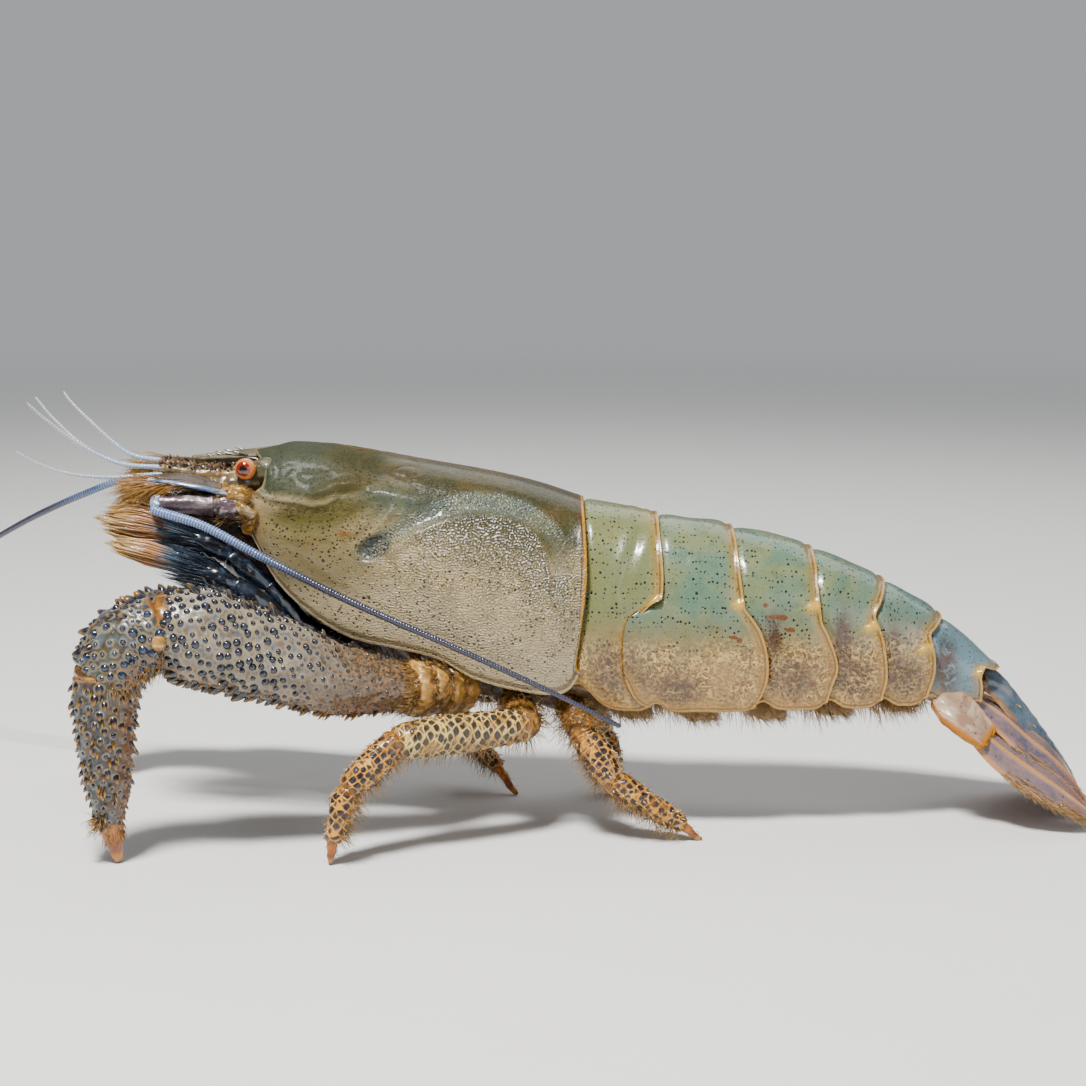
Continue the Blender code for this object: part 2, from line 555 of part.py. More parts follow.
def walking_leg(side, word, rank, plans, collection):
    """A slender leg in two nodes, parted at the knee."""
    hip, ischium, knee, wrist, ankle, toe = [mirrored(point, side) for point in plans[side]]
    base_size, merus_size, wrist_size, ankle_size = SLENDER_SIZES[rank]
    knee_plane = bisector(ischium, knee, wrist)
    bend = (Vector(knee) - Vector(ischium)).angle(Vector(wrist) - Vector(knee))
    clear = merus_size * math.tan(bend / 2.0) * 0.95 + SLENDER_KNEE_CLEAR
    merus_end = 1.0 - clear / (Vector(knee) - Vector(ischium)).length
    shank_start = clear / (Vector(wrist) - Vector(knee)).length
    upper = [(hip, base_size, base_size),
             (between(hip, ischium, 0.55), base_size * 1.05, base_size * 1.05),
             (ischium, merus_size * 0.82, merus_size * 0.82)]
    for t, scale in SLENDER_MERUS_SWELL:
        upper.append((between(ischium, knee, t * merus_end), merus_size * scale,
                      merus_size * scale))
    above, below = [merus_size * share for share in SLENDER_KNEE_SHARES]
    upper.append((Vector(knee) - knee_plane * HALF_GAP, above, above))
    finish(rank + "_leg_upper_" + word,
           tube_mesh(upper, 12, end_normal=knee_plane, end_dome=0.0),
           LEG_CREAM, 0.45, collection)
    foot = FOOT_RADIUS[rank]
    lower = [(Vector(knee) + knee_plane * HALF_GAP, below, below),
             (between(knee, wrist, shank_start), wrist_size * 1.12, wrist_size * 1.12),
             (between(knee, wrist, 0.92), wrist_size * 0.92, wrist_size * 0.92),
             (between(wrist, ankle, 0.4), wrist_size * 0.95, wrist_size * 0.95),
             (between(wrist, ankle, 0.92), ankle_size, ankle_size),
             (between(ankle, toe, 0.2), ankle_size * 0.55, ankle_size * 0.55),
             (toe, foot, foot)]
    finish(rank + "_leg_lower_" + word,
           tube_mesh(lower, 10, start_normal=knee_plane, end_normal=(0.0, 0.0, -1.0),
                     start_dome=0.0, end_dome=0.0),
           LEG_CREAM, 0.45, collection)


def filter_leg(side, word, rank, collection):
    """A short arm with a brush of long bristles for a hand."""
    hip, ischium, elbow, wrist, claw = [mirrored(point, side) for point in FILTER_ARMS[rank]]
    places = (hip, ischium, between(ischium, elbow, 0.5), elbow, between(elbow, wrist, 0.5),
              wrist, between(wrist, claw, 0.5), claw)
    arm = [(centre, *size) for centre, size in zip(places, FILTER_ARM_SIZES)]
    finish(rank + "_leg_arm_" + word, tube_mesh(arm, 10, end_dome=0.0), ARM_BLUE, 0.3, collection)
    base, tip, half_heights = FILTER_FANS[rank]
    stations = []
    for i, half_height in enumerate(half_heights):
        t = i / (len(half_heights) - 1)
        thick = FILTER_FAN_THICKNESS * (1.0 - FILTER_FAN_THINNING * t)
        stations.append((mirrored(between(base, tip, t), side), half_height, thick))
    finish(rank + "_leg_fan_" + word,
           tube_mesh(stations, 10, broad=(0.0, 0.0, 1.0), start_dome=0.0, end_dome=0.8),
           BRISTLE_TAN, 0.6, collection)


def flagellum(name, points, root_radius, tip_radius, collection):
    """A tapering feeler: a curve with a round bevel and filled ends."""
    count = len(points) - 1
    curve = bpy.data.curves.new(name, "CURVE")
    curve.dimensions = "3D"
    curve.bevel_depth = root_radius * MM
    curve.bevel_resolution = 2
    curve.use_fill_caps = True
    spline = curve.splines.new("POLY")
    spline.points.add(FLAGELLUM_POINTS - 1)
    axes = [tuple((float(i), point[axis]) for i, point in enumerate(points)) for axis in range(3)]
    for k in range(FLAGELLUM_POINTS):
        t = k / (FLAGELLUM_POINTS - 1)
        x, y, z = (table_value(axis, t * count) for axis in axes)
        spline.points[k].co = (*place(x, y, z), 1.0)
        spline.points[k].radius = 1.0 + (tip_radius / root_radius - 1.0) * t
    return finish(name, curve, FEELER_BLUE, 0.3, collection)


def sternum_mesh():
    """The ridged underside of the thorax, which carries the legs."""
    bm = bmesh.new()
    rings = []
    (side_share, side_depth), (keel_share, keel_depth) = STERNUM_KEEL
    for k in range(STERNUM_STEPS):
        t = k / (STERNUM_STEPS - 1)
        x = STERNUM_X[0] + (STERNUM_X[1] - STERNUM_X[0]) * t
        half = STERNUM_HALF_WIDTHS[0] + (STERNUM_HALF_WIDTHS[1] - STERNUM_HALF_WIDTHS[0]) * t
        top = table_value(CARAPACE_MARGIN, x) - STERNUM_CLEARANCE
        depth = table_value(STERNUM_DEPTH, x)
        rings.append(add_ring(bm, (
            place(x, -half, top),
            place(x, half, top),
            place(x, half * side_share, top - depth * side_depth),
            place(x, half * keel_share, top - depth * keel_depth),
            place(x, -half * keel_share, top - depth * keel_depth),
            place(x, -half * side_share, top - depth * side_depth))))
    for first, second in zip(rings, rings[1:]):
        join_rings(bm, first, second)
    bm.faces.new(rings[0])
    bm.faces.new(rings[-1])
    return bm


def swimmerets_mesh(side):
    """A row of leaf-like swimmerets hanging under one side of the abdomen."""
    bm = bmesh.new()
    rings = []
    steps = SWIMMERET_COUNT * SWIMMERET_STEPS
    for k in range(steps + 1):
        t = k / steps
        x = SWIMMERET_X[0] + (SWIMMERET_X[1] - SWIMMERET_X[0]) * t
        leaf = abs(math.sin(math.pi * SWIMMERET_COUNT * t))
        size = (0.35 + 0.65 * leaf) * (1.0 - 0.5 * t ** 2)
        top = PLEURON_MARGIN_Z - SWIMMERET_TOP_CLEARANCE
        bottom = top - SWIMMERET_DEPTH * size
        outer = table_value(ABDOMEN_HALF_WIDTH, x) * SWIMMERET_HALF_WIDTH_SHARE
        rings.append(add_ring(bm, (
            place(x, 0.6 * side, top), place(x, outer * side, top),
            place(x, (outer - 0.5) * side, bottom + 0.5), place(x, (outer - 1.5) * side, bottom),
            place(x, 1.5 * side, bottom + 0.4))))
    for first, second in zip(rings, rings[1:]):
        join_rings(bm, first, second)
    bm.faces.new(rings[0])
    bm.faces.new(rings[-1])
    return bm


def eye_pieces(side, word, collection):
    eye = bmesh.new()
    bmesh.ops.create_uvsphere(eye, u_segments=12, v_segments=8, radius=EYE_RADIUS * MM)
    bmesh.ops.translate(eye, verts=eye.verts, vec=place(*mirrored(EYE_CENTRE, side)))
    finish("eye_" + word, eye, EYE_ORANGE, 0.1, collection)
    centre = Vector(EYE_CENTRE)
    root = Vector(STALK_ROOT)
    reach = (centre - root).length - EYE_RADIUS - GAP
    end = root + (centre - root).normalized() * reach
    stalk = [(mirrored(root, side), STALK_RADIUS, STALK_RADIUS),
             (mirrored(end, side), STALK_RADIUS * 0.9, STALK_RADIUS * 0.9)]
    finish("eyestalk_" + word, tube_mesh(stalk, 10, start_dome=0.0, end_dome=0.0),
           SHELL_TAN, 0.4, collection)


def head_pieces(side, word, collection):
    """Antennule and antenna peduncles, the antennal scale and the maxilliped of one side."""
    points = [mirrored(point, side) for point in ANTENNULE_PEDUNCLE]
    stations = [(point, radius, radius) for point, radius in zip(points, ANTENNULE_PEDUNCLE_RADII)]
    finish("antennule_peduncle_" + word, tube_mesh(stations, 10, end_dome=0.0),
           SHELL_TAN, 0.4, collection)
    points = [mirrored(point, side) for point in ANTENNA_PEDUNCLES[side]]
    stations = [(point, radius, radius) for point, radius in zip(points, ANTENNA_PEDUNCLE_RADII)]
    finish("antenna_peduncle_" + word, tube_mesh(stations, 10), LEG_SLATE, 0.35, collection)
    scale = leaf_mesh(SCALE_LINES[side], SCALE_HALF_WIDTHS, SCALE_HALF_THICKNESS, SCALE_BROAD, side)
    finish("antenna_scale_" + word, scale, FEELER_BLUE, 0.35, collection)
    points = [mirrored(point, side) for point in MAXILLIPED]
    stations = [(point, radius, radius) for point, radius in zip(points, MAXILLIPED_RADII)]
    finish("maxilliped_" + word, tube_mesh(stations, 8), BRISTLE_TAN, 0.5, collection)


def tail_fan(side, word, collection):
    finish("uropod_exopod_" + word,
           leaf_mesh(EXOPOD_LINE, EXOPOD_HALF_WIDTHS, FAN_HALF_THICKNESS, EXOPOD_BROAD, side),
           SHELL_TAN, 0.35, collection)
    finish("uropod_endopod_" + word,
           leaf_mesh(ENDOPOD_LINE, ENDOPOD_HALF_WIDTHS, FAN_HALF_THICKNESS, ENDOPOD_BROAD, side),
           SHELL_TAN, 0.35, collection)


def main():
    clear_scene()
    collection = new_collection(MODEL_NAME)
    cutters = new_collection("cutters")

    carapace = finish("carapace", carapace_mesh(), SHELL_OLIVE, 0.35, collection)
    rostrum = finish("rostrum_root", rostrum_mesh(), SHELL_OLIVE, 0.35, cutters)
    join_solids(carapace, rostrum)
    finish("sternum", sternum_mesh(), SHELL_TAN, 0.5, collection)

    for number in range(len(ABDOMEN_REAR_EDGES)):
        finish("abdomen_" + str(number + 1), abdomen_mesh(number), SHELL_GREEN, 0.35, collection)
    telson = leaf_mesh(TELSON_LINE, TELSON_HALF_WIDTHS, TELSON_HALF_THICKNESS, (0.0, 1.0, 0.0),
                       LEFT)
    finish("telson", telson, LEG_SLATE, 0.35, collection)

    for side, word in ((LEFT, "left"), (RIGHT, "right")):
        eye_pieces(side, word, collection)
        head_pieces(side, word, collection)
        filter_leg(side, word, "first", collection)
        filter_leg(side, word, "second", collection)
        third_leg(side, word, collection)
        walking_leg(side, word, "fourth", FOURTH_LEGS, collection)
        walking_leg(side, word, "fifth", FIFTH_LEGS, collection)
        tail_fan(side, word, collection)
        finish("swimmerets_" + word, swimmerets_mesh(side), BRISTLE_TAN, 0.6, collection)

    for name, (points, root_radius, tip_radius) in FLAGELLA.items():
        flagellum(name, points, root_radius, tip_radius, collection)


main()
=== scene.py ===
import math

import bmesh
import bpy
import numpy as np
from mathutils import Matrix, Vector
from mathutils.kdtree import KDTree


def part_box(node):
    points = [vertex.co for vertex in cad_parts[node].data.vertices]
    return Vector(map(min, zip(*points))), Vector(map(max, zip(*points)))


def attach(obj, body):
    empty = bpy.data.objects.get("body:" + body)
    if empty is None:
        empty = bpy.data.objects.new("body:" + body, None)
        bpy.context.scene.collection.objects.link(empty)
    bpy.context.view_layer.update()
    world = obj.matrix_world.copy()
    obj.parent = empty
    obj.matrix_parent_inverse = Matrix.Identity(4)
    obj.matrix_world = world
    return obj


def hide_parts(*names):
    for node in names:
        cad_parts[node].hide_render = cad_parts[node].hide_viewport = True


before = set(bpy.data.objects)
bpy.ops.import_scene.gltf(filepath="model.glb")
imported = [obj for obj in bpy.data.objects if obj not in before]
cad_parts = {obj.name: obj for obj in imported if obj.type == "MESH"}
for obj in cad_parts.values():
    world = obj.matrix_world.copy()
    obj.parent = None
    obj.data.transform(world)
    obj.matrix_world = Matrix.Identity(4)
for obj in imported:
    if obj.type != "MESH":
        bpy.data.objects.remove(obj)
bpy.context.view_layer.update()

mm = 0.001
tau = 2 * math.pi
left, right = -1, 1
sides = ((left, "left", "Left"), (right, "right", "Right"))

# Sizes below are in millimetres from the point on the floor under the middle of the shell.
shellRear = 5.6                      # where the shell's rear edge stands on that scale
shellLow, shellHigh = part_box("carapace")
origin = Vector((shellHigh.x - shellRear * mm, (shellLow.y + shellHigh.y) / 2, 0))


def lots(seed):
    return np.random.default_rng(seed)


chance = lots(11)


# curves and surfaces

def curveThrough(points):
    # a smooth curve through (place, value) pairs
    at, values = np.array(points, float).T
    slope = np.empty(len(at))
    slope[1:-1] = (values[2:] - values[:-2]) / (at[2:] - at[:-2])
    slope[0] = (values[1] - values[0]) / (at[1] - at[0])
    slope[-1] = (values[-1] - values[-2]) / (at[-1] - at[-2])

    def value(x):
        x = np.clip(x, at[0], at[-1])
        i = np.clip(np.searchsorted(at, x, side="right") - 1, 0, len(at) - 2)
        span = at[i + 1] - at[i]
        t = (x - at[i]) / span
        return ((2 * t**3 - 3 * t**2 + 1) * values[i] + (t**3 - 2 * t**2 + t) * span * slope[i]
                + (3 * t**2 - 2 * t**3) * values[i + 1] + (t**3 - t**2) * span * slope[i + 1])
    return value


def easeStep(x, low, high):
    t = np.clip((x - low) / (high - low), 0, 1)
    return t * t * (3 - 2 * t)


def nearLine(x, z, points):
    # distance of each (x, z) to a line through a few points
    best = np.full(np.shape(x), 1e9)
    for (x0, z0), (x1, z1) in zip(points, points[1:]):
        runX, runZ = x1 - x0, z1 - z0
        t = np.clip(((x - x0) * runX + (z - z0) * runZ) / (runX**2 + runZ**2), 0, 1)
        best = np.minimum(best, np.hypot(x - x0 - t * runX, z - z0 - t * runZ))
    return best


def hump(distance, width):
    return np.exp(-(distance / width) ** 2)


def mound(x, z, centre, size, turn=0.0):
    # a soft oval hump: its centre, half sizes and turn in degrees
    c, s = math.cos(math.radians(turn)), math.sin(math.radians(turn))
    dx, dz = x - centre[0], z - centre[1]
    return np.exp(-((dx * c + dz * s) / size[0]) ** 2 - ((dz * c - dx * s) / size[1]) ** 2)


def ovalDistance(x, z, centre, size, turn=0.0):
    # distance from an oval's centre in shares of its half sizes, 1 at its edge
    return np.sqrt(-np.log(np.maximum(mound(x, z, centre, size, turn), 1e-300)))


def ripples(places, size, seed):
    # a smooth uneven field between about -1 and 1, the same every run
    own = lots(seed + 100)
    ways = unit(own.normal(size=(9, 3))) * tau / size * own.uniform(0.7, 1.5, (9, 1))
    return np.sin(places @ ways.T + own.uniform(0, 6.28, 9)).sum(axis=1) / 4.2


def unit(vectors):
    return vectors / np.maximum(np.linalg.norm(vectors, axis=-1, keepdims=True), 1e-9)


def normalsOf(shape, u, v):
    # outward normals of a surface given as shape(u, v)
    step = 0.002
    u0, u1 = np.clip(u - step, 0, 1), np.clip(u + step, 0, 1)
    v0, v1 = np.clip(v - step, 0, 1), np.clip(v + step, 0, 1)
    inV = np.clip(v, 2 * step, 1 - 2 * step)
    normal = np.cross(shape(u1, inV) - shape(u0, inV), shape(u, v1) - shape(u, v0))
    return unit(normal)


def raised(shape, height):
    # the surface with relief: height(u, v, places) in millimetres along its normals
    def relief(u, v):
        places = shape(u, v)
        return places + normalsOf(shape, u, v) * height(u, v, places)[:, None]
    return relief


# pieces

def addPiece(name, mesh, finish, slot, replaces, thickness=0.0):
    mesh.materials.append(materials[finish])
    mesh.shade_smooth()
    piece = inScene(name, mesh)
    if thickness:
        wall = piece.modifiers.new("Wall", "SOLIDIFY")
        wall.thickness = thickness * mm
        wall.offset = -1
    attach(piece, "root")
    if replaces:
        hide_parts(*replaces)


def moveVertices(mesh, places):
    # places are in millimetres from the origin
    mesh.vertices.foreach_set("co", (places * mm + np.array(origin)).astype(np.float32).ravel())


def addMarks(mesh, marks):
    for label, values in marks.items():
        layer = mesh.attributes.new(label, "FLOAT", "POINT")
        layer.data.foreach_set("value", np.asarray(values, np.float32))


def tidyMesh(mesh, merge=0.002):
    # joins vertices closer than so many millimetres and turns every face outwards
    bm = bmesh.new()
    bm.from_mesh(mesh)
    bmesh.ops.remove_doubles(bm, verts=bm.verts, dist=merge * mm)
    bmesh.ops.recalc_face_normals(bm, faces=bm.faces)
    bm.to_mesh(mesh)
    bm.free()


def gridMesh(name, across, along):
    # a flat grid, with each vertex's u and v
    bm = bmesh.new()
    bmesh.ops.create_grid(bm, x_segments=across, y_segments=along, size=0.5)
    mesh = bpy.data.meshes.new(name)
    bm.to_mesh(mesh)
    bm.free()
    flat = np.empty(len(mesh.vertices) * 3, np.float32)
    mesh.vertices.foreach_get("co", flat)
    u, v = flat.reshape(-1, 3)[:, :2].T.astype(float) + 0.5
    return mesh, u, v


def surfacePiece(name, shape, across, along, finish, slot, replaces=(), thickness=0.0, marks=None):
    mesh, u, v = gridMesh(name, across, along)
    places = shape(u, v)
    moveVertices(mesh, places)
    addMarks(mesh, marks(u, v, places) if marks else {})
    tidyMesh(mesh)
    addPiece(name, mesh, finish, slot, replaces, thickness)


def tubeShape(stations, broad=(0, 1, 0), domes=(0.0, 0.0), capShare=0.07, arch=0.0):
    # a rounded limb: stations are (x, y, z, half width, half height), u goes round and v along;
    # arch drops its side edges by so much
    data = np.array(stations, float)
    steps = np.linalg.norm(np.diff(data[:, :3], axis=0), axis=1)
    at = np.concatenate([[0], np.cumsum(steps)]) / steps.sum()
    curves = [curveThrough(list(zip(at, column))) for column in data.T]
    shares = [capShare if dome else 0.0 for dome in domes]
    broad = np.array(broad, float)
    if np.cross(unit(data[-1, :3] - data[0, :3]), broad)[2] < -0.2:
        broad = -broad      # so that u = 0.25 is the upper side

    def centreAt(s):
        return np.stack([curve(s) for curve in curves[:3]], axis=-1)

    def shape(u, v):
        s = np.clip((v - shares[0]) / (1 - shares[0] - shares[1]), 0, 1)
        centre = centreAt(s)
        ahead = unit(centreAt(np.minimum(s + 0.01, 1)) - centreAt(np.maximum(s - 0.01, 0)))
        across = unit(broad - ahead * (ahead @ broad)[:, None])
        above = np.cross(ahead, across)
        size = np.ones(len(v))
        for k, (dome, share) in enumerate(zip(domes, shares)):
            if not dome:
                continue
            inside = (share - v) / share if k == 0 else (v - 1 + share) / share
            inside = np.clip(inside, 0, 1)
            size = size * np.sqrt(np.maximum(1 - inside**2, 0))
            centre = centre + ahead * (dome * inside * (1 if k else -1))[:, None]
        turn = tau * u
        drop = arch * (np.cos(turn) * size) ** 2
        return (centre + across * (curves[3](s) * size * np.cos(turn))[:, None]
                + above * (curves[4](s) * size * np.sin(turn) - drop)[:, None])
    return shape


def manyTubes(name, roots, mids, tips, radii, rings, around, finish, slot, replaces=(), rootPlace=None,
              marks=None):
    # many small tapered tubes in one mesh: rings are (place along, share of the radius)
    count, columns, rows = len(roots), around + 1, len(rings)
    mesh, u, v = gridMesh(name, count * columns - 1, rows - 1)
    column = np.rint(u * (count * columns - 1)).astype(int)
    which, turn = column // columns, tau * (column % columns) / around
    t, size = np.array(rings, float)[np.rint(v * (rows - 1)).astype(int)].T
    size = size * radii[which]
    roots, mids, tips = roots[which], mids[which], tips[which]
    tt = t[:, None]
    centre = roots * (1 - tt) ** 2 + mids * 2 * tt * (1 - tt) + tips * tt**2
    ahead = unit((mids - roots) * (1 - tt) + (tips - mids) * tt)
    guide = np.where(np.abs(ahead[:, 2:]) > 0.9, [[1.0, 0, 0]], [[0, 0, 1.0]])
    across = unit(np.cross(ahead, guide))
    above = np.cross(ahead, across)
    moveVertices(mesh, centre + (across * np.cos(turn)[:, None] + above * np.sin(turn)[:, None])
                 * size[:, None])
    own = {label: values[which] for label, values in (marks or {}).items()}
    addMarks(mesh, {"along": t, "lot": chance.random(count)[which], **own})
    if rootPlace is not None:
        # each strand is a small patch of the map, at its root's place on the skin
        uvs = mesh.uv_layers.new(name="OFBake")
        corner = np.empty(len(mesh.loops), np.int32)
        mesh.loops.foreach_get("vertex_index", corner)
        patch = 0.003
        spot = rootPlace[which] * (1 - patch) + patch * np.stack([(column % columns) / around, t], -1)
        uvs.data.foreach_set("uv", spot[corner].astype(np.float32).ravel())
    # cut the faces that run from one tube to the next
    bm = bmesh.new()
    bm.from_mesh(mesh)
    links = [face for face in bm.faces if len({int(which[vertex.index]) for vertex in face.verts}) > 1]
    bmesh.ops.delete(bm, geom=links, context="FACES")
    bm.to_mesh(mesh)
    bm.free()
    tidyMesh(mesh, 0.0002)
    addPiece(name, mesh, finish, slot, replaces)


# shader tools; they all write into the node tree that is being built
building = {}


class Field:
    # a node's output, so that sums of outputs read as sums
    def __init__(self, socket):
        self.socket = socket

    def __add__(self, other):
        return calc("ADD", self, other)

    def __sub__(self, other):
        return calc("SUBTRACT", self, other)

    def __rsub__(self, other):
        return calc("SUBTRACT", other, self)

    def __mul__(self, other):
        return calc("MULTIPLY", self, other)

    def __abs__(self):
        return calc("ABSOLUTE", self)


def plug(socket, value):
    if isinstance(value, Field):
        building["tree"].links.new(value.socket, socket)
    elif socket.type == "RGBA" and len(value) == 3:
        socket.default_value = (*value, 1)
    else:
        socket.default_value = value


def node(kind, gives, setup=None, **sockets):
    # gives names the output that is wanted, or several of them
    made = building["tree"].nodes.new("ShaderNode" + kind)
    for key, value in (setup or {}).items():
        setattr(made, key, value)
    for key, value in sockets.items():
        plug(made.inputs[key.replace("_", " ")], value)
    fields = [Field(made.outputs[label]) for label in np.atleast_1d(gives).tolist()]
    return fields if len(fields) > 1 else fields[0]


def inOrder(kind, places, values, give, **setup):
    # a node whose inputs and output are told apart only by their places
    made = building["tree"].nodes.new("ShaderNode" + kind)
    for key, value in setup.items():
        setattr(made, key, value)
    for index, value in zip(places, values):
        plug(made.inputs[index], value)
    return Field(made.outputs[give])


def calc(operation, *values):
    return inOrder("Math", range(3), values, 0, operation=operation)


def blend(share, first, second):
    ready = [value if isinstance(value, Field) or max(value) <= 1 else tint(*value)
             for value in (first, second)]
    return inOrder("Mix", (0, 6, 7), (share, *ready), 2, data_type="RGBA")


def layered(colour, *layers):
    # lays one colour over another: each layer is (share, colour)
    for share, over in layers:
        colour = blend(share, colour, over)
    return colour


def ease(value, low, high, toLow=0.0, toHigh=1.0):
    return node("MapRange", "Result", {"interpolation_type": "SMOOTHSTEP"}, Value=value, From_Min=low,
                From_Max=high, To_Min=toLow, To_Max=toHigh)


def mark(label):
    return node("Attribute", "Fac", {"attribute_name": label})


def objectSpace():
    return node("TexCoord", "Object")


def noise(vector, scale, detail, roughness=0.55, warp=0.0, gives="Fac"):
    return node("TexNoise", gives, Vector=vector, Scale=scale, Detail=detail, Roughness=roughness,
                Distortion=warp)


def stretched(vector, sizes, turn=(0, 0, 0)):
    return node("Mapping", "Vector", Vector=vector, Scale=sizes, Rotation=turn)


def shifted(vector, by, scale, detail, drawn=None):
    # the vector, or its drawn-out form, pushed about at random by so many millimetres
    warp = noise(vector, scale, detail, 0.5, gives="Color")
    return inOrder("VectorMath", range(3), (warp, (by * mm,) * 3, drawn or vector), 0,
                   operation="MULTIPLY_ADD")


def bump(height, depth, strength):
    # depth is in millimetres
    return node("Bump", "Normal", Height=height, Distance=depth * mm, Strength=strength)


def newMaterial(name):
    material = bpy.data.materials.new(name)
    material.use_nodes = True
    building["tree"] = material.node_tree
    return material


def dressed(material, colour, rough, coat, coatRough=0.03, ior=1.5, **others):
    # the material with its shader filled in
    shader = material.node_tree.nodes["Principled BSDF"]
    values = {"Base_Color": colour, "Roughness": rough, "IOR": ior, "Coat_Weight": coat,
              "Coat_Roughness": coatRough, **others}
    for key, value in values.items():
        plug(shader.inputs[key.replace("_", " ")], value)
    return material


def newGroup(name, takes, gives):
    # takes: a vector and then numbers with their usual values
    group = bpy.data.node_groups.new(name, "ShaderNodeTree")
    building["tree"] = group
    group.interface.new_socket(name="Vector", in_out="INPUT", socket_type="NodeSocketVector")
    for label, value in takes.items():
        group.interface.new_socket(name=label, in_out="INPUT",
                                   socket_type="NodeSocketFloat").default_value = value
    for label in gives:
        group.interface.new_socket(name=label, in_out="OUTPUT", socket_type="NodeSocketFloat")
    sources = group.nodes.new("NodeGroupInput").outputs
    return group, {socket.name: Field(socket) for socket in sources if socket.name}


def giveOut(group, **fields):
    ends = group.nodes.new("NodeGroupOutput").inputs
    for label, field in fields.items():
        plug(ends[label], field)
    return group


def useGroup(group, gives, **values):
    return node("Group", gives, {"node_tree": group}, **values)


def tint(red, green, blue, depth=0.66, strength=1.25):
    # screen values 0..255 to the shader's own, deeper and stronger to stand the soft light
    shares = np.array([(value / 255) ** 2.2 for value in (red, green, blue)])
    grey = shares.mean()
    return tuple(float(share) for share in np.clip(grey + (shares - grey) * strength, 0.003, 1) * depth)


# effects that several materials share

def pitGroup():
    # small round or drawn-out dots, some cells left empty
    group, takes = newGroup("pits", {"Scale": 1500.0, "Size": 0.2, "Share": 0.6, "Spread": 0.9}, ["Mask"])
    moved = shifted(takes["Vector"], 0.4, 900.0, 1.0)
    distance, colour = node("TexVoronoi", ["Distance", "Color"], Vector=moved, Scale=takes["Scale"],
                            Randomness=takes["Spread"])
    red, green = node("SeparateColor", ["Red", "Green"], Color=colour)
    size = takes["Size"] * (green + 0.5)
    dot = 1.0 - ease(calc("DIVIDE", distance, size), 0.6, 1.0)
    return giveOut(group, Mask=dot * calc("LESS_THAN", red, takes["Share"]))


def labyrinthGroup():
    # fine meandering ridges, as on a fingertip
    group, takes = newGroup("labyrinth", {"Scale": 900.0}, ["Ridge", "Height"])
    value = node("TexGabor", "Value", {"gabor_type": "3D"}, Vector=takes["Vector"], Scale=takes["Scale"],
                 Frequency=2.0, Anisotropy=0.0)
    return giveOut(group, Ridge=ease(value, 0.5, 0.72), Height=ease(value, 0.25, 0.75))


def mottleGroup():
    # soft uneven patches
    group, takes = newGroup("mottle", {"Scale": 200.0, "Low": 0.4, "High": 0.6}, ["Share"])
    patches = noise(takes["Vector"], takes["Scale"], 5.0, 0.6, 0.4)
    return giveOut(group, Share=ease(patches, takes["Low"], takes["High"]))


def fibreGroup():
    # short curling threads lying in the surface
    group, takes = newGroup("fibres", {"Scale": 500.0}, ["Thread"])
    lines = []
    for stretch in (1.0, 1.45):
        waves = noise(takes["Vector"], takes["Scale"] * stretch, 1.0, 0.5, 0.8)
        lines.append(1.0 - ease(abs(waves - 0.5), 0.012, 0.04))
    return giveOut(group, Thread=calc("MAXIMUM", *lines))


pits, labyrinth, mottle, fibres = pitGroup(), labyrinthGroup(), mottleGroup(), fibreGroup()


def mottled(place, scale, low, high):
    return useGroup(mottle, "Share", Vector=place, Scale=scale, Low=low, High=high)


def dotted(place, scale, size, share, spread=0.9):
    return useGroup(pits, "Mask", Vector=place, Scale=scale, Size=size, Share=share, Spread=spread)


# the shell over the head and thorax

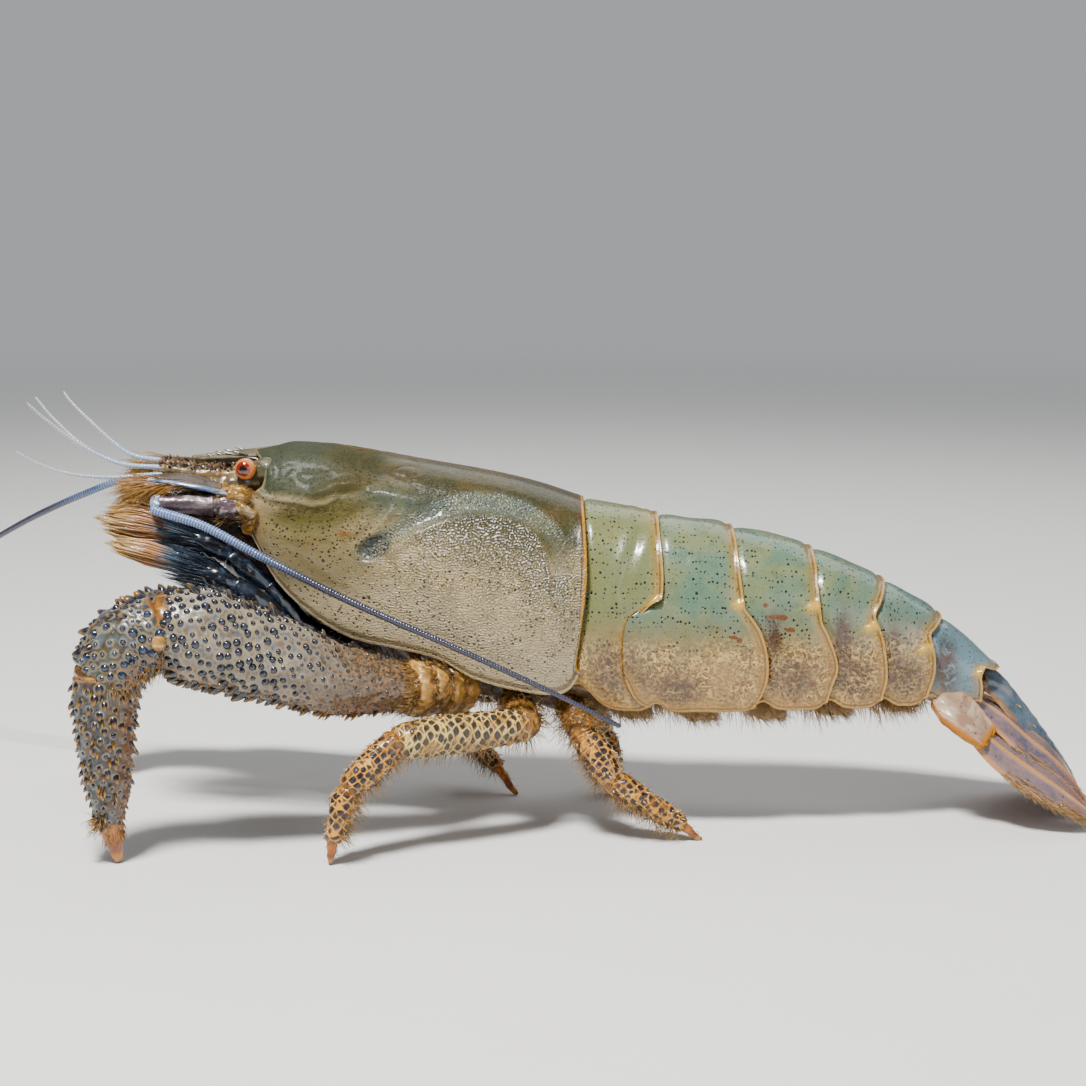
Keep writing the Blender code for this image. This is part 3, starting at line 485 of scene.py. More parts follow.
carapace = {
    "back": ((-38.6, 49.0), (-35.5, 49.5), (-32.5, 50.1), (-26.0, 49.6), (-16.0, 47.8),
             (-6.0, 46.0), (0.0, 44.5), (5.6, 42.6)),
    "margin": ((-38.8, 41.2), (-37.3, 38.0), (-34.6, 33.1), (-29.9, 28.7), (-24.8, 25.9),
               (-18.4, 24.5), (-13.5, 23.3), (-8.8, 20.7), (-2.3, 18.9), (1.4, 18.5), (3.2, 19.0),
               (4.3, 20.4), (4.9, 22.2)),
    "halfWidth": ((-38.8, 6.0), (-33.0, 8.4), (-25.0, 10.3), (-14.0, 11.5), (-4.0, 11.6), (5.7, 10.9)),
    "front": ((0.0, -38.7), (0.3, -38.4), (0.52, -37.5), (0.72, -36.0), (0.88, -36.0), (1.0, -37.6)),
    "rear": ((0.0, 4.8), (0.1, 4.3), (0.3, 5.0), (0.6, 5.6), (1.0, 5.3)),
    "lowAngle": -32.0, "fullness": 0.8, "wall": 0.3, "across": 186, "along": 230,
    "carina": ((-37.2, 44.9), (-36.6, 44.6), (-35.5, 43.8), (-34.3, 43.6), (-32.4, 43.5), (-30.8, 43.3),
               (-29.5, 43.0), (-27.8, 43.3), (-26.5, 43.9), (-25.7, 44.3)),
    "hollowEdge": ((-37.0, 42.4), (-36.1, 40.7), (-35.0, 39.6), (-33.0, 38.9), (-31.0, 38.7),
                   (-28.4, 39.0), (-24.6, 39.5)),
    "pit": ((-21.5, 37.85), (2.3, 1.45), 24.0),
    "streak": ((-23.6, 39.0), (-22.5, 40.2), (-21.7, 41.1), (-20.9, 42.0), (-20.2, 42.8)),
    "channel": ((-21.4, 37.9), (-19.4, 39.4), (-17.8, 40.3), (-16.0, 41.3), (-14.1, 42.1), (-11.8, 42.9),
                (-8.6, 43.3), (-5.4, 43.0), (-2.3, 42.0), (0.3, 40.2), (1.9, 38.0), (2.8, 34.6),
                (3.0, 31.0)),
    "ridge": ((-19.4, 37.2), (-18.4, 37.9), (-17.5, 38.7), (-16.5, 39.4), (-14.3, 40.3), (-12.4, 41.0),
              (-10.3, 41.5), (-8.0, 41.6), (-5.4, 41.4), (-2.9, 40.6), (-0.9, 39.2), (0.4, 37.2),
              (1.1, 34.4)),
    "scar": (-17.6, 46.9),
    # swellings and dents of the flank: height, (x, z), half sizes and turn
    "swellings": ((0.5, (-28.4, 44.6), (1.5, 0.5), 14), (0.34, (-25.6, 45.6), (2.6, 0.5), 4),
                  (-0.24, (-25.2, 44.5), (1.8, 0.35), 12), (-0.5, (-24.6, 41.9), (1.7, 1.1), 24),
                  (0.5, (-18.9, 44.1), (3.6, 0.8), -12), (0.3, (-23.2, 43.5), (1.6, 0.5), 18),
                  (0.35, (-7.0, 32.5), (12.5, 8.6), 0), (0.25, (-35.1, 46.7), (0.55, 1.9), 8)),
}


def bodyShape(front, rear, back, margin, halfWidth, lowAngle, fullness, grow=(0.0, 0.0)):
    # a hoop over the back: u runs from front to rear, v from the left margin to the right one
    low = math.radians(lowAngle)

    def shape(u, v):
        turn = low + (math.pi - 2 * low) * v
        row = np.clip((np.sin(turn) - math.sin(low)) / (1 - math.sin(low)), 0, 1)
        x = front(row) + (rear(row) - front(row)) * u
        swell = grow[0] + (grow[1] - grow[0]) * u
        bottom = margin(x)
        z = bottom + (back(x) + swell - bottom) * row
        reach = np.abs(np.cos(turn)) ** fullness * np.sign(np.cos(turn))
        return np.stack([x, -(halfWidth(x) + swell) * reach, z], axis=-1)
    return shape


def edgeDistances(u, v, places, across, along):
    # millimetres over the surface to the front, rear and the nearer side edge
    iu, iv = np.rint(u * across).astype(int), np.rint(v * along).astype(int)
    grid = np.zeros((along + 1, across + 1, 3))
    grid[iv, iu] = places
    alongU = np.linalg.norm(np.diff(grid, axis=1), axis=2)
    alongV = np.linalg.norm(np.diff(grid, axis=0), axis=2)
    fromFront = np.pad(np.cumsum(alongU, axis=1), ((0, 0), (1, 0)))
    fromSide = np.pad(np.cumsum(alongV, axis=0), ((1, 0), (0, 0)))
    toRear = fromFront[:, -1:] - fromFront
    side = np.minimum(fromSide, fromSide[-1:] - fromSide)
    return {"toFront": fromFront[iv, iu], "toRear": toRear[iv, iu], "toSide": side[iv, iu]}


def carapaceRelief(u, v, places):
    x, z = places[:, 0], places[:, 2]
    s = carapace
    carina = hump(nearLine(x, z, s["carina"]), 0.42)
    hollow = mound(x, z, (-32.2, 41.2), (4.6, 1.7), 2) + 0.6 * mound(x, z, (-27.8, 41.3), (2.2, 1.4), 20)
    hollow = np.minimum(hollow, 1)
    above = mound(x, z, (-30.2, 46.9), (3.6, 1.5), -12)
    pit = ovalDistance(x, z, *s["pit"])
    channel, ridge = nearLine(x, z, s["channel"]), nearLine(x, z, s["ridge"])
    fade = 1 - 0.62 * easeStep(x, -17.0, -4.0)
    inPit = 1 - easeStep(pit, 0.72, 1.06)
    height = 0.34 * carina * (1 - easeStep(x, -27.0, -25.5)) - 0.8 * hollow - 0.4 * above
    height += 0.08 * hump(nearLine(x, z, s["hollowEdge"]), 0.5)
    height += sum(rise * mound(x, z, *where) for rise, *where in s["swellings"])
    height -= 0.7 * inPit + 0.5 * hump(channel, 1.1) * fade * (1 - inPit)
    height += 0.16 * hump(pit - 1.2, 0.14) * easeStep(-(x + 21.5) - 0.4 * (z - 37.9), -1.0, 0.6)
    height += 0.4 * hump(ridge, 0.5) * (0.5 + 0.5 * fade)
    height -= 0.22 * hump(nearLine(x, z, s["streak"]), 0.6)
    height += 0.16 * hump(nearLine(x - 0.9, z + 0.35, s["streak"]), 0.45)
    height -= 0.1 * hump(ovalDistance(x, z, s["scar"], (1.75, 0.55)) - 1, 0.22)
    # small dents and wrinkles, most of them at the front and inside the channel
    front = 1 - 0.75 * easeStep(x, -24.0, -12.0)
    height += front * (0.03 * ripples(places, 2.9, 1) + 0.01 * ripples(places, 1.3, 2))
    height += 0.03 * easeStep(-x, 17.0, 24.0) * easeStep(z, 42.5, 44.5) * np.sin(
        1.9 * z - 1.2 * x + 1.6 * ripples(places, 4.5, 21)) * (0.6 + 0.4 * ripples(places, 3.1, 22))
    height += 0.06 * np.maximum(inPit, hump(channel, 1.2) * fade) * ripples(places, 0.9, 5)
    return height


def carapaceMarks(u, v, places):
    x, z = places[:, 0], places[:, 2]
    s = carapace
    pit = ovalDistance(x, z, *s["pit"])
    channel, ridge = nearLine(x, z, s["channel"]), nearLine(x, z, s["ridge"])
    turn = abs(v - 0.5) * 2
    edges = edgeDistances(u, v, places, s["across"], s["along"])
    flank = easeStep(turn, 0.36, 0.62)
    channelEnd = easeStep(x, -4.0, 1.5) * easeStep(-z, -42.0, -37.0)
    inChannel = easeStep(-channel, -1.6, -0.5) * (1 - 0.8 * channelEnd)
    below = easeStep(np.interp(x, [p[0] for p in s["ridge"]], [p[1] for p in s["ridge"]]) - z, -0.6, 0.3)
    wrinkle = np.clip(1.5 * mound(x, z, (-4.5, 37.5), (12.5, 6.5), -10), 0, 1)
    wrinkle = below * wrinkle * easeStep(x, -21.0, -15.0)
    return {**edges,
            "flank": flank,
            "arch": np.maximum(inChannel, 0.8 * mound(x, z, (-18.4, 43.2), (4.0, 1.6), -12)),
            "pit": 1 - easeStep(pit, 0.8, 1.1),
            "wrinkle": np.clip(np.maximum(np.maximum(wrinkle, 0.68 * flank * easeStep(x, -31.0, -14.0)),
                                          0.55 * inChannel), 0, 1),
            # where the labyrinth's ridges are painted near-white, as a highlight along the channel's lower
            # ridge
            "bright": below * hump(ridge, 5.0) * easeStep(x, -19.0, -14.0),
            "hollow": np.clip(mound(x, z, (-32.0, 41.2), (5.6, 2.3), 2)
                              + mound(x, z, (-26.6, 41.8), (4.2, 1.9), 16), 0, 1),
            "face": easeStep(-x, 24.0, 31.0) * easeStep(z, 43.0, 45.0),
            "dull": easeStep(-x, 16.0, 24.0) * easeStep(z, 36.5, 39.0),
            # the front of the flank, painted darker as shade
            "fore": easeStep(-x, 18.0, 27.0) * easeStep(z, 30.0, 34.0) * easeStep(-z, -43.0, -39.0),
            # a pale line along the carina's crest, painted on as a highlight
            "keel": hump(nearLine(x, z, s["carina"]), 0.22) * (1 - easeStep(x, -27.5, -26.0)),
            "amber": 0.75 * mound(x, z, (-37.6, 41.2), (1.4, 2.6), 0),
            "tuft": mound(x, z, (-25.3, 39.5), (1.1, 0.35), -10),
            "keelLine": hump(places[:, 1], 0.24) * easeStep(x, -30.0, -24.0),
            "crease": np.clip(hump(nearLine(x, z, s["streak"]), 0.5) + 0.8 * hump(pit - 1.1, 0.2), 0, 1),
            "scar": hump(ovalDistance(x, z, s["scar"], (1.75, 0.55)) - 1, 0.2)}


def carapaceMaterial(name):
    material = newMaterial(name)
    place = objectSpace()
    toSide, toRear, toFront = mark("toSide"), mark("toRear"), mark("toFront")
    flank, fore, bright, wrinkle = mark("flank"), mark("fore"), mark("bright"), mark("wrinkle")
    soft, fine = noise(place, 260, 4), noise(place, 2600, 3)
    ridge, height = useGroup(labyrinth, ["Ridge", "Height"], Vector=place, Scale=1400.0)
    specks = dotted(place, 2150.0, 0.31, 0.9, 0.8)
    curls = useGroup(fibres, "Thread", Vector=place, Scale=900.0)
    patches = mottled(place, 160.0, 0.4, 0.62)
    side = layered(blend(patches, (194, 176, 140), (134, 122, 92)),
                   (ease(soft, 0.45, 0.75), (156, 138, 104)),
                   (ease(toSide, 10.0, 1.0, 0.0, 0.85), (232, 216, 186)),
                   # painted shade: the front of the flank darker
                   (fore * 0.75, (116, 104, 72)))
    back = layered(blend(patches, (54, 53, 27), (72, 65, 34)), (ease(soft, 0.55, 0.8), (88, 70, 42)))
    # the rolled edge: a cream line, a darker strip and a second fine line
    strip = ease(toSide, 0.4, 0.6) * (1.0 - ease(toSide, 1.0, 1.4))
    second = 1.0 - ease(abs(toSide - 1.35), 0.05, 0.2)
    rearShade = 1.0 - ease(abs(toRear - 0.72), 0.06, 0.2)
    colour = layered(
        blend(flank, back, side),
        (mark("face"), blend(soft, (44, 54, 48), (70, 73, 52))),
        (mark("hollow") * 0.95, blend(soft, (58, 62, 32), (100, 88, 46))),
        (mark("arch") * 0.8, blend(patches, (82, 100, 98), (108, 116, 96))),
        (mark("crease") * 0.4, (58, 62, 44)),
        (mark("pit") * 0.9, blend(ease(fine, 0.4, 0.65), (34, 44, 48), (76, 98, 106))),
        (mark("scar") * 0.38, (84, 54, 34)),
        # labyrinth ridges: cream, turning near-white towards the channel's lower ridge as a painted
        # highlight
        (ridge * wrinkle * ease(bright, 0.0, 1.0, 0.55, 1.0),
         blend(bright, (222, 206, 170), (246, 250, 248, 1.0))),
        ((1.0 - height) * wrinkle * ease(bright, 0.0, 1.0, 0.6, 0.75), (92, 84, 60)),
        (specks * ease(flank, 0.3, 0.9, 0.3, 1.0), (50, 36, 22)),
        (curls * ease(fore, 0.0, 0.5, 0.32, 0.0) * flank, (196, 176, 136)),
        (mark("tuft"), (112, 78, 42)),
        (mark("keelLine") * 0.7, (132, 92, 48)),
        # painted highlight: a pale line along the carina
        (mark("keel") * 0.35, (196, 180, 150)),
        (mark("amber"), (150, 104, 52)),
        (strip * 0.7, (104, 82, 54)),
        (second * 0.5, (208, 190, 150)),
        ((1.0 - ease(toFront, 0.16, 0.4)) * 0.6, (150, 136, 104)),
        (1.0 - ease(toSide, 0.36, 0.5), (244, 226, 184)),
        (rearShade * 0.75, (92, 50, 28)),
        (1.0 - ease(toRear, 0.3, 0.46), (200, 148, 78)))
    dullMark = mark("dull")
    dull = ease(dullMark, 0.0, 1.0, 0.0, 0.28)
    creases = noise(stretched(place, (1.0, 1.0, 2.2), (0, 0.9, 0)), 420, 3, 0.5, 1.4)
    relief = (height * (wrinkle * ease(bright, 0.0, 1.0, 1.1, 2.2)) - specks * 0.5 + fine * 0.25
              + noise(place, 900, 3) * ease(dullMark, 0.0, 1.0, 0.35, 0.1)
              + creases * ease(dullMark, 0.0, 1.0, 0.3, 0.6))
    return dressed(material, colour, ease(fine, 0.3, 0.7, 0.26, 0.44) + dull, 0.3 - dull, 0.12,
                   Specular_IOR_Level=ease(dullMark, 0.0, 1.0, 0.5, 0.22), Normal=bump(relief, 0.2, 0.9))


def buildCarapace():
    s = carapace
    shape = bodyShape(*(curveThrough(s[key]) for key in ("front", "rear", "back", "margin", "halfWidth")),
                      s["lowAngle"], s["fullness"])
    surfacePiece("carapaceShell", raised(shape, carapaceRelief), s["across"], s["along"], "wetShell",
                 "carapace_shell", ["carapace"], s["wall"], carapaceMarks)


# the six rings of the tail and their side plates

abdomen = {
    "back": ((5.4, 42.6), (15.0, 40.7), (25.0, 39.0), (35.4, 36.2), (44.9, 32.0), (52.6, 27.2),
             (60.6, 20.0)),
    "halfWidth": ((5.4, 10.6), (15.0, 10.9), (25.0, 10.7), (35.0, 9.8), (44.5, 8.2), (52.0, 6.3),
                  (60.6, 4.7)),
    "rearEdges": (
        ((0.0, 14.4), (0.05, 13.0), (0.1, 12.1), (0.2, 11.2), (0.38, 11.1), (0.47, 11.6), (0.54, 13.2),
         (0.60, 15.2), (1.0, 15.0)),
        ((0.0, 27.2), (0.05, 28.2), (0.16, 28.9), (0.3, 28.8), (0.45, 27.9), (0.54, 26.8), (0.60, 25.9),
         (1.0, 24.9)),
        ((0.0, 36.8), (0.12, 37.4), (0.27, 38.0), (0.47, 36.8), (0.6, 35.8), (1.0, 35.4)),
        ((0.0, 44.0), (0.2, 44.6), (0.47, 44.2), (0.60, 43.6), (0.7, 43.0), (0.8, 43.7), (1.0, 44.9)),
        ((0.0, 50.2), (0.2, 50.9), (0.38, 51.1), (0.54, 50.9), (0.70, 50.5), (0.8, 51.2), (1.0, 52.6)),
        ((0.0, 57.6), (0.3, 57.6), (0.54, 57.4), (0.70, 58.0), (0.8, 59.4), (1.0, 60.5))),
    "marginZ": 16.4, "notch": 1.1, "notchWidth": 1.3, "notchesX": (14.6, 28.4, 37.2, 44.2, 50.5),
    "firstRise": 3.4, "lowAngle": -24.0, "fullness": 0.8, "step": 0.35, "gap": 0.3, "tuck": 1.1,
    "wall": 0.22, "across": 44, "along": 180,
    # hinge knobs, brown patches and rust spots: (x, z) and half sizes
    "knobs": ((14.6, 30.8), (25.3, 30.4), (34.9, 29.9), (42.5, 27.0), (49.8, 23.8), (57.4, 20.4)),
    "patches": (((9.4, 22.0), (2.3, 3.4)), ((17.6, 19.4), (2.8, 1.7)), ((32.0, 20.6), (2.6, 2.8)),
                ((40.4, 20.6), (2.5, 2.8)), ((47.0, 19.8), (2.2, 2.4)), ((52.6, 21.0), (1.5, 3.6)),
                ((29.6, 25.6), (1.1, 3.4)), ((38.6, 25.6), (1.2, 3.4)), ((45.4, 24.0), (1.0, 2.8))),
    "rust": (((24.3, 26.3), (0.55, 0.25)), ((25.2, 25.9), (0.4, 0.25)), ((29.5, 28.7), (0.7, 0.3)),
             ((30.8, 28.6), (0.6, 0.35)), ((31.7, 27.0), (0.7, 0.3)), ((35.0, 22.3), (0.4, 0.3)),
             ((34.7, 19.9), (0.4, 0.3)), ((32.5, 17.6), (0.3, 0.3)), ((28.6, 30.2), (0.4, 0.25))),
    "swellings": ((((8.2, 23.0), (2.4, 4.0), 0.2),), (((20.0, 22.5), (6.2, 5.2), 0.35),),
                  (((33.2, 20.6), (3.0, 3.6), 0.25),), (((40.8, 20.6), (2.8, 3.4), 0.25),),
                  (((47.0, 20.0), (2.6, 3.2), 0.25),), ()),
    "firstGroove": ((13.0, 40.6), (11.9, 37.7), (10.8, 34.7), (10.2, 32.0), (10.8, 29.0)),
}


def abdomenBack(x):
    dips = sum(hump(x - edge[-1][1], 1.1) for edge in abdomen["rearEdges"][:-1])
    return curveThrough(abdomen["back"])(x) - 0.25 * dips


def abdomenMargin(x):
    s = abdomen
    notches = sum(hump(x - at, s["notchWidth"]) for at in s["notchesX"])
    return s["marginZ"] + s["notch"] * notches + s["firstRise"] * hump(x - 4.4, 2.8)


def ringShape(number):
    s = abdomen
    front = curveThrough(carapace["rear"] if number == 0 else s["rearEdges"][number - 1])
    rear = curveThrough(s["rearEdges"][number])
    low = math.radians(s["lowAngle"])
    halfWidth = curveThrough(s["halfWidth"])
    sink = 0.45 if number == 0 else 0.3

    def shape(u, v):
        turn = low + (math.pi - 2 * low) * v
        row = np.clip((np.sin(turn) - math.sin(low)) / (1 - math.sin(low)), 0, 1)
        start = front(row) + s["gap"] - s["tuck"]
        x = start + (rear(row) - start) * u
        tucked = 1 - easeStep(x, front(row) - 0.3, front(row) + 0.9)
        t = np.clip((x - front(row)) / (rear(row) - front(row)), 0, 1)
        swell = s["step"] * (t - 0.45) - sink * tucked
        if number == 1:
            # the broad second plate lies over both its neighbours
            over = 1 - easeStep(row, 0.5, 0.58)
            swell = swell * (1 - over) + over * 0.22
        if number in (0, 2):
            under = (1 - easeStep(row, 0.48, 0.58)) * (t if number == 0 else 1 - t)
            swell = swell - 0.3 * under
        bottom = abdomenMargin(x)
        z = bottom + (abdomenBack(x) + swell - bottom) * row
        reach = np.abs(np.cos(turn)) ** s["fullness"] * np.sign(np.cos(turn))
        return np.stack([x, -(halfWidth(x) + swell) * reach, z], axis=-1)
    return shape


def ringRelief(number, u, v, places):
    s = abdomen
    x, z = places[:, 0], places[:, 2]
    edges = edgeDistances(u, v, places, s["across"], s["along"])
    height = 0.1 * ripples(places, 7.0, number)
    height += 0.13 * hump(edges["toRear"], 0.3) + 0.14 * hump(edges["toSide"], 0.35)
    height -= 0.1 * hump(edges["toRear"] - 0.75, 0.3)
    knobX, knobZ = s["knobs"][number]
    height += 0.4 * mound(x, z, (knobX, knobZ), (0.75, 0.5), 15)
    height += 0.16 * mound(x, z, (knobX - 1.6, knobZ - 0.5), (1.5, 0.3), 20)
    for centre, size, rise in s["swellings"][number]:
        height += rise * mound(x, z, centre, size)
    if number == 0:
        groove = nearLine(x, z, s["firstGroove"])
        height += 0.1 * hump(groove - 1.2, 0.7) - 0.14 * hump(groove, 0.6)
        height += 0.1 * hump(edges["toFront"], 0.3) * (1 - easeStep(z, 22.5, 24.0))
    elif number == 1:
        height += 0.13 * hump(edges["toFront"], 0.3) * (1 - easeStep(z, 28.5, 30.5))
    return height


def ringMarks(number, u, v, places):
    s = abdomen
    x, z = places[:, 0], places[:, 2]
    knobX, knobZ = s["knobs"][number]
    patch = sum(mound(x, z, centre, size) for centre, size in s["patches"])
    return {**edgeDistances(u, v, places, s["across"], s["along"]),
            "flank": 1 - easeStep(z, 20.0, 31.0),
            "knob": np.clip(mound(x, z, (knobX, knobZ), (0.9, 0.55), 15) * 1.6, 0, 1),
            "patch": np.clip(patch * 1.5, 0, 1),
            "rust": np.clip(sum(mound(x, z, c, size) for c, size in s["rust"]) * 1.8, 0, 1),
            "tailward": easeStep(x, 36.0, 56.0),
            "first": np.full(len(x), 1.0 if number == 0 else 0.0),
            "sixth": np.full(len(x), 1.0 if number == 5 else 0.0),
            "plate": np.full(len(x), 1.0) if number == 1 else (number == 0) * (1 - easeStep(z, 22.5, 24.0))}


def abdomenMaterial(name):
    material = newMaterial(name)
    place = objectSpace()
    toSide, toRear, toFront = mark("toSide"), mark("toRear"), mark("toFront")
    flank, sixth, tailward = mark("flank"), mark("sixth"), mark("tailward")
    soft, fine = noise(place, 240, 4), noise(place, 2600, 3)
    dots = dotted(stretched(place, (1.1, 1.0, 0.95)), 1750.0, 0.27, 0.97, 0.5)
    patches = mottled(place, 130.0, 0.42, 0.66)
    threads = useGroup(fibres, "Thread", Vector=place, Scale=820.0)
    ridge, height = useGroup(labyrinth, ["Ridge", "Height"], Vector=place, Scale=820.0)
    blue = blend(soft, (104, 132, 144), (130, 152, 158))
    top = layered(blend(patches, (106, 132, 114), (134, 140, 106)),
                  (ease(soft, 0.52, 0.74) * 0.45, (150, 146, 100)),
                  (ease(noise(place, 520, 4), 0.5, 0.72, 0.0, 0.5), (82, 104, 84)),
                  (mark("first") * 0.55, (142, 134, 84)),
                  (tailward, blend(soft, (76, 120, 122), (104, 140, 134))),
                  (sixth, blue))
    low = layered(blend(patches, (184, 146, 96), (108, 84, 54)),
                  (ease(soft, 0.45, 0.7), (146, 102, 56)),
                  (tailward * 0.35, (126, 122, 110)),
                  (sixth, blue))
    brown = mark("patch") * ease(noise(place, 700, 4, 0.7, 1.2), 0.3, 0.5)
    lowShare = ease(flank, 0.25, 0.8) * (1.0 - sixth)
    gaps = (1.0 - height) * lowShare
    hairy = threads * (lowShare * ease(soft, 0.4, 0.56, 0.25, 1.0)) * (1.0 - brown * 0.6)
    # golden edges, with a warm tinge beside them
    notPlate = 1.0 - mark("plate") * flank
    nearest = calc("MINIMUM", calc("MINIMUM", toRear, toSide), toFront + notPlate * 9.0)
    shade = 1.0 - ease(abs(nearest - 0.46), 0.05, 0.17)
    colour = layered(
        blend(flank, top, low),
        (brown * 0.95, (72, 46, 30)),
        (gaps * 0.5, (84, 60, 36)),
        (ridge * lowShare * 0.2, (240, 208, 150)),
        (hairy * 0.85, (236, 202, 142, 0.72)),
        (dots * ease(flank, 0.35, 0.9, 1.0, 0.45), (22, 26, 18)),
        ((1.0 - ease(nearest, 0.3, 2.2)) * 0.55, (186, 140, 70)),
        (shade * 0.75, (96, 66, 32)),
        (ease(mark("rust"), 0.45, 0.7, 0.0, 0.9), (112, 66, 22)),
        (mark("knob"), (228, 186, 100)),
        (1.0 - ease(nearest, 0.2, 0.3), blend(fine, (190, 138, 64), (212, 172, 106))))
    relief = fine * 0.3 + noise(place, 800, 3) * 0.5 - dots * 0.7 + hairy * 0.5 - gaps * 0.5
    return dressed(material, colour, ease(fine, 0.3, 0.7, 0.2, 0.38), 0.5, 0.1,
                   Normal=bump(relief, 0.1, 0.8))


def buildAbdomen():
    s = abdomen
    for number in range(6):
        name = "abdomenRing" + str(number + 1)
        shape = ringShape(number)
        mesh, evenU, v = gridMesh(name, s["across"], s["along"])
        u = 1 - (1 - evenU) ** (1.15 if number == 1 else 1.5)      # closer rows towards the rear rim
        places = shape(u, v)
        places = places + normalsOf(shape, u, v) * ringRelief(number, evenU, v, places)[:, None]
        moveVertices(mesh, places)
        addMarks(mesh, ringMarks(number, evenU, v, places))
        tidyMesh(mesh)
        addPiece(name, mesh, "ringedShell", "abdomen_shell", ["abdomen_" + str(number + 1)], s["wall"])


# the third legs: massive, studded

thirdLeg = {
    "joints": {
        left: ((-10.2, 6.6, 18.6), (-17.7, 12.4, 20.0), (-47.0, 19.6, 29.6), (-54.3, 21.4, 23.6),
               (-53.9, 21.9, 5.4), (-52.9, 22.0, 0.0)),
        right: ((-10.2, 6.6, 18.4), (-17.4, 12.2, 18.2), (-49.3, 15.6, 22.8), (-59.2, 16.4, 19.8),
                (-61.4, 16.8, 4.9), (-61.0, 16.9, 0.0))},
    # the upper leg: share of its length, radius, how far it hangs below the line of its joints
    "merus": ((0.0, 3.1, 0.0), (0.16, 4.1, 0.7), (0.34, 4.9, 1.1), (0.55, 5.6, 0.4), (0.75, 6.1, 0.0),
              (0.89, 6.1, 0.0), (1.0, 4.8, 0.0)),
    "propodus": ((0.0, 4.0), (0.28, 3.9), (0.55, 3.5), (0.82, 2.8), (1.0, 1.9)),
    "base": ((-0.1, 2.0), (0.3, 2.9), (0.72, 3.2), (1.0, 2.9)),
    "basePlates": ((0.2, 0.5), (0.45, 0.62), (0.7, 0.5), (0.92, 0.3)),       # where along, how proud
    "carpusBow": 1.3,
    "inset": 0.35,                   # the skin lies this far inside the solid, for studs and spines
    # faces round and along, number of studs, where along they stand, seed, skin, studs; then the spines'
    # length and the domes' height in stud radii, how far each leans, and the warm side
    "segments": {
        "Merus": ((110, 150), 660, (0.1, 0.965), 0, "studdedSkin", "navyStuds",
                  (2.4, 3.6), 0.95, (0.9, 0.15), (0.6, 0.75, 0.13)),
        "Carpus": ((96, 76), 150, (0.1, 0.93), 5, "carpusSkin", "slateStuds",
                   (1.7, 2.4), 0.95, (0.7, 0.15), (0.85, 0.75, 0.15)),
        "Propodus": ((90, 96), 190, (0.08, 0.95), 8, "slateSkin", "slateStuds",
                     (2.0, 3.2), 0.9, (1.1, 0.2), (0.7, 0.25, 0.14))},
    # number, where round and along, radius, length, seed, how far forward
    "hooks": {"Merus": (74, (0.67, 0.84), (0.12, 0.96), 0.24, 1.35, 19, 0.8),
              "Carpus": (44, (0.62, 0.88), (0.1, 0.95), 0.22, 1.2, 29, 0.8),
              "Propodus": (64, (0.4, 1.1), (0.06, 0.96), 0.22, 1.3, 49, 1.3)},
    # number, where round and along, length, how far forward, curl, seed
    "hair": {"Merus": (420, (0.62, 0.9), (0.05, 0.8), 1.1, 0.4, 0.15, 9),
             "Carpus": (380, (0.6, 0.9), (0.05, 0.98), 1.7, 0.5, 0.2, 39)},
}


def mirrored(point, side):
    return (point[0], point[1] * side, point[2])


def onSide(points, side):
    return np.array([mirrored(point, side) for point in points], float)


def frameOn(shape, u, v):
    return shape(u, v), normalsOf(shape, u, v)


def legs(*ranks):
    # every leg of these ranks, on both sides
    return [(rank, *each) for rank in ranks for each in sides]


def between(a, b, rows):
    # stations from a to b: each row is a share of the way, half width and, where it differs, half height
    return [(*lerp(a, b, t), *(sizes * 2)[:2]) for t, *sizes in rows]


def rippled(height, size, seed):
    return lambda u, v, places: height * ripples(places, size, seed)


def roundSpots(own, count):
    # random places within a circle of radius 1
    spin, reach = own.random(count) * tau, np.sqrt(own.random(count))
    return reach * np.cos(spin), reach * np.sin(spin)


def goldenSpread(count, low=0.0, high=1.0, seed=0):
    # even places over a limb: u round it, v along it
    own = lots(seed + 40)
    i = np.arange(count)
    u = (i * 0.618034 + own.uniform(-0.012, 0.012, count)) % 1
    v = low + (high - low) * (i + 0.5 + own.uniform(-0.4, 0.4, count)) / count
    return u, v


def studDistances(places, studs, sizes):
    # for each place the distance to the nearest stud, in stud radii
    tree = KDTree(len(studs))
    for i, stud in enumerate(studs):
        tree.insert(stud, i)
    tree.balance()
    found = [tree.find(place) for place in places]
    return np.array([distance / sizes[index] for _, index, distance in found])


def limbPiece(name, shape, grid, finish, slot, replaces=(), relief=None, marks=None):
    # grid is the number of faces round and along
    surfacePiece(name, raised(shape, relief) if relief else shape, *grid, finish, slot, replaces,
                 marks=marks)


def limb(name, stations, domes, grid, *others, broad=(0, 1, 0)):
    # a piece along stations, given back as a surface for hairs and spines
    shape = tubeShape(stations, broad, domes)
    limbPiece(name, shape, grid, *others)
    return shape


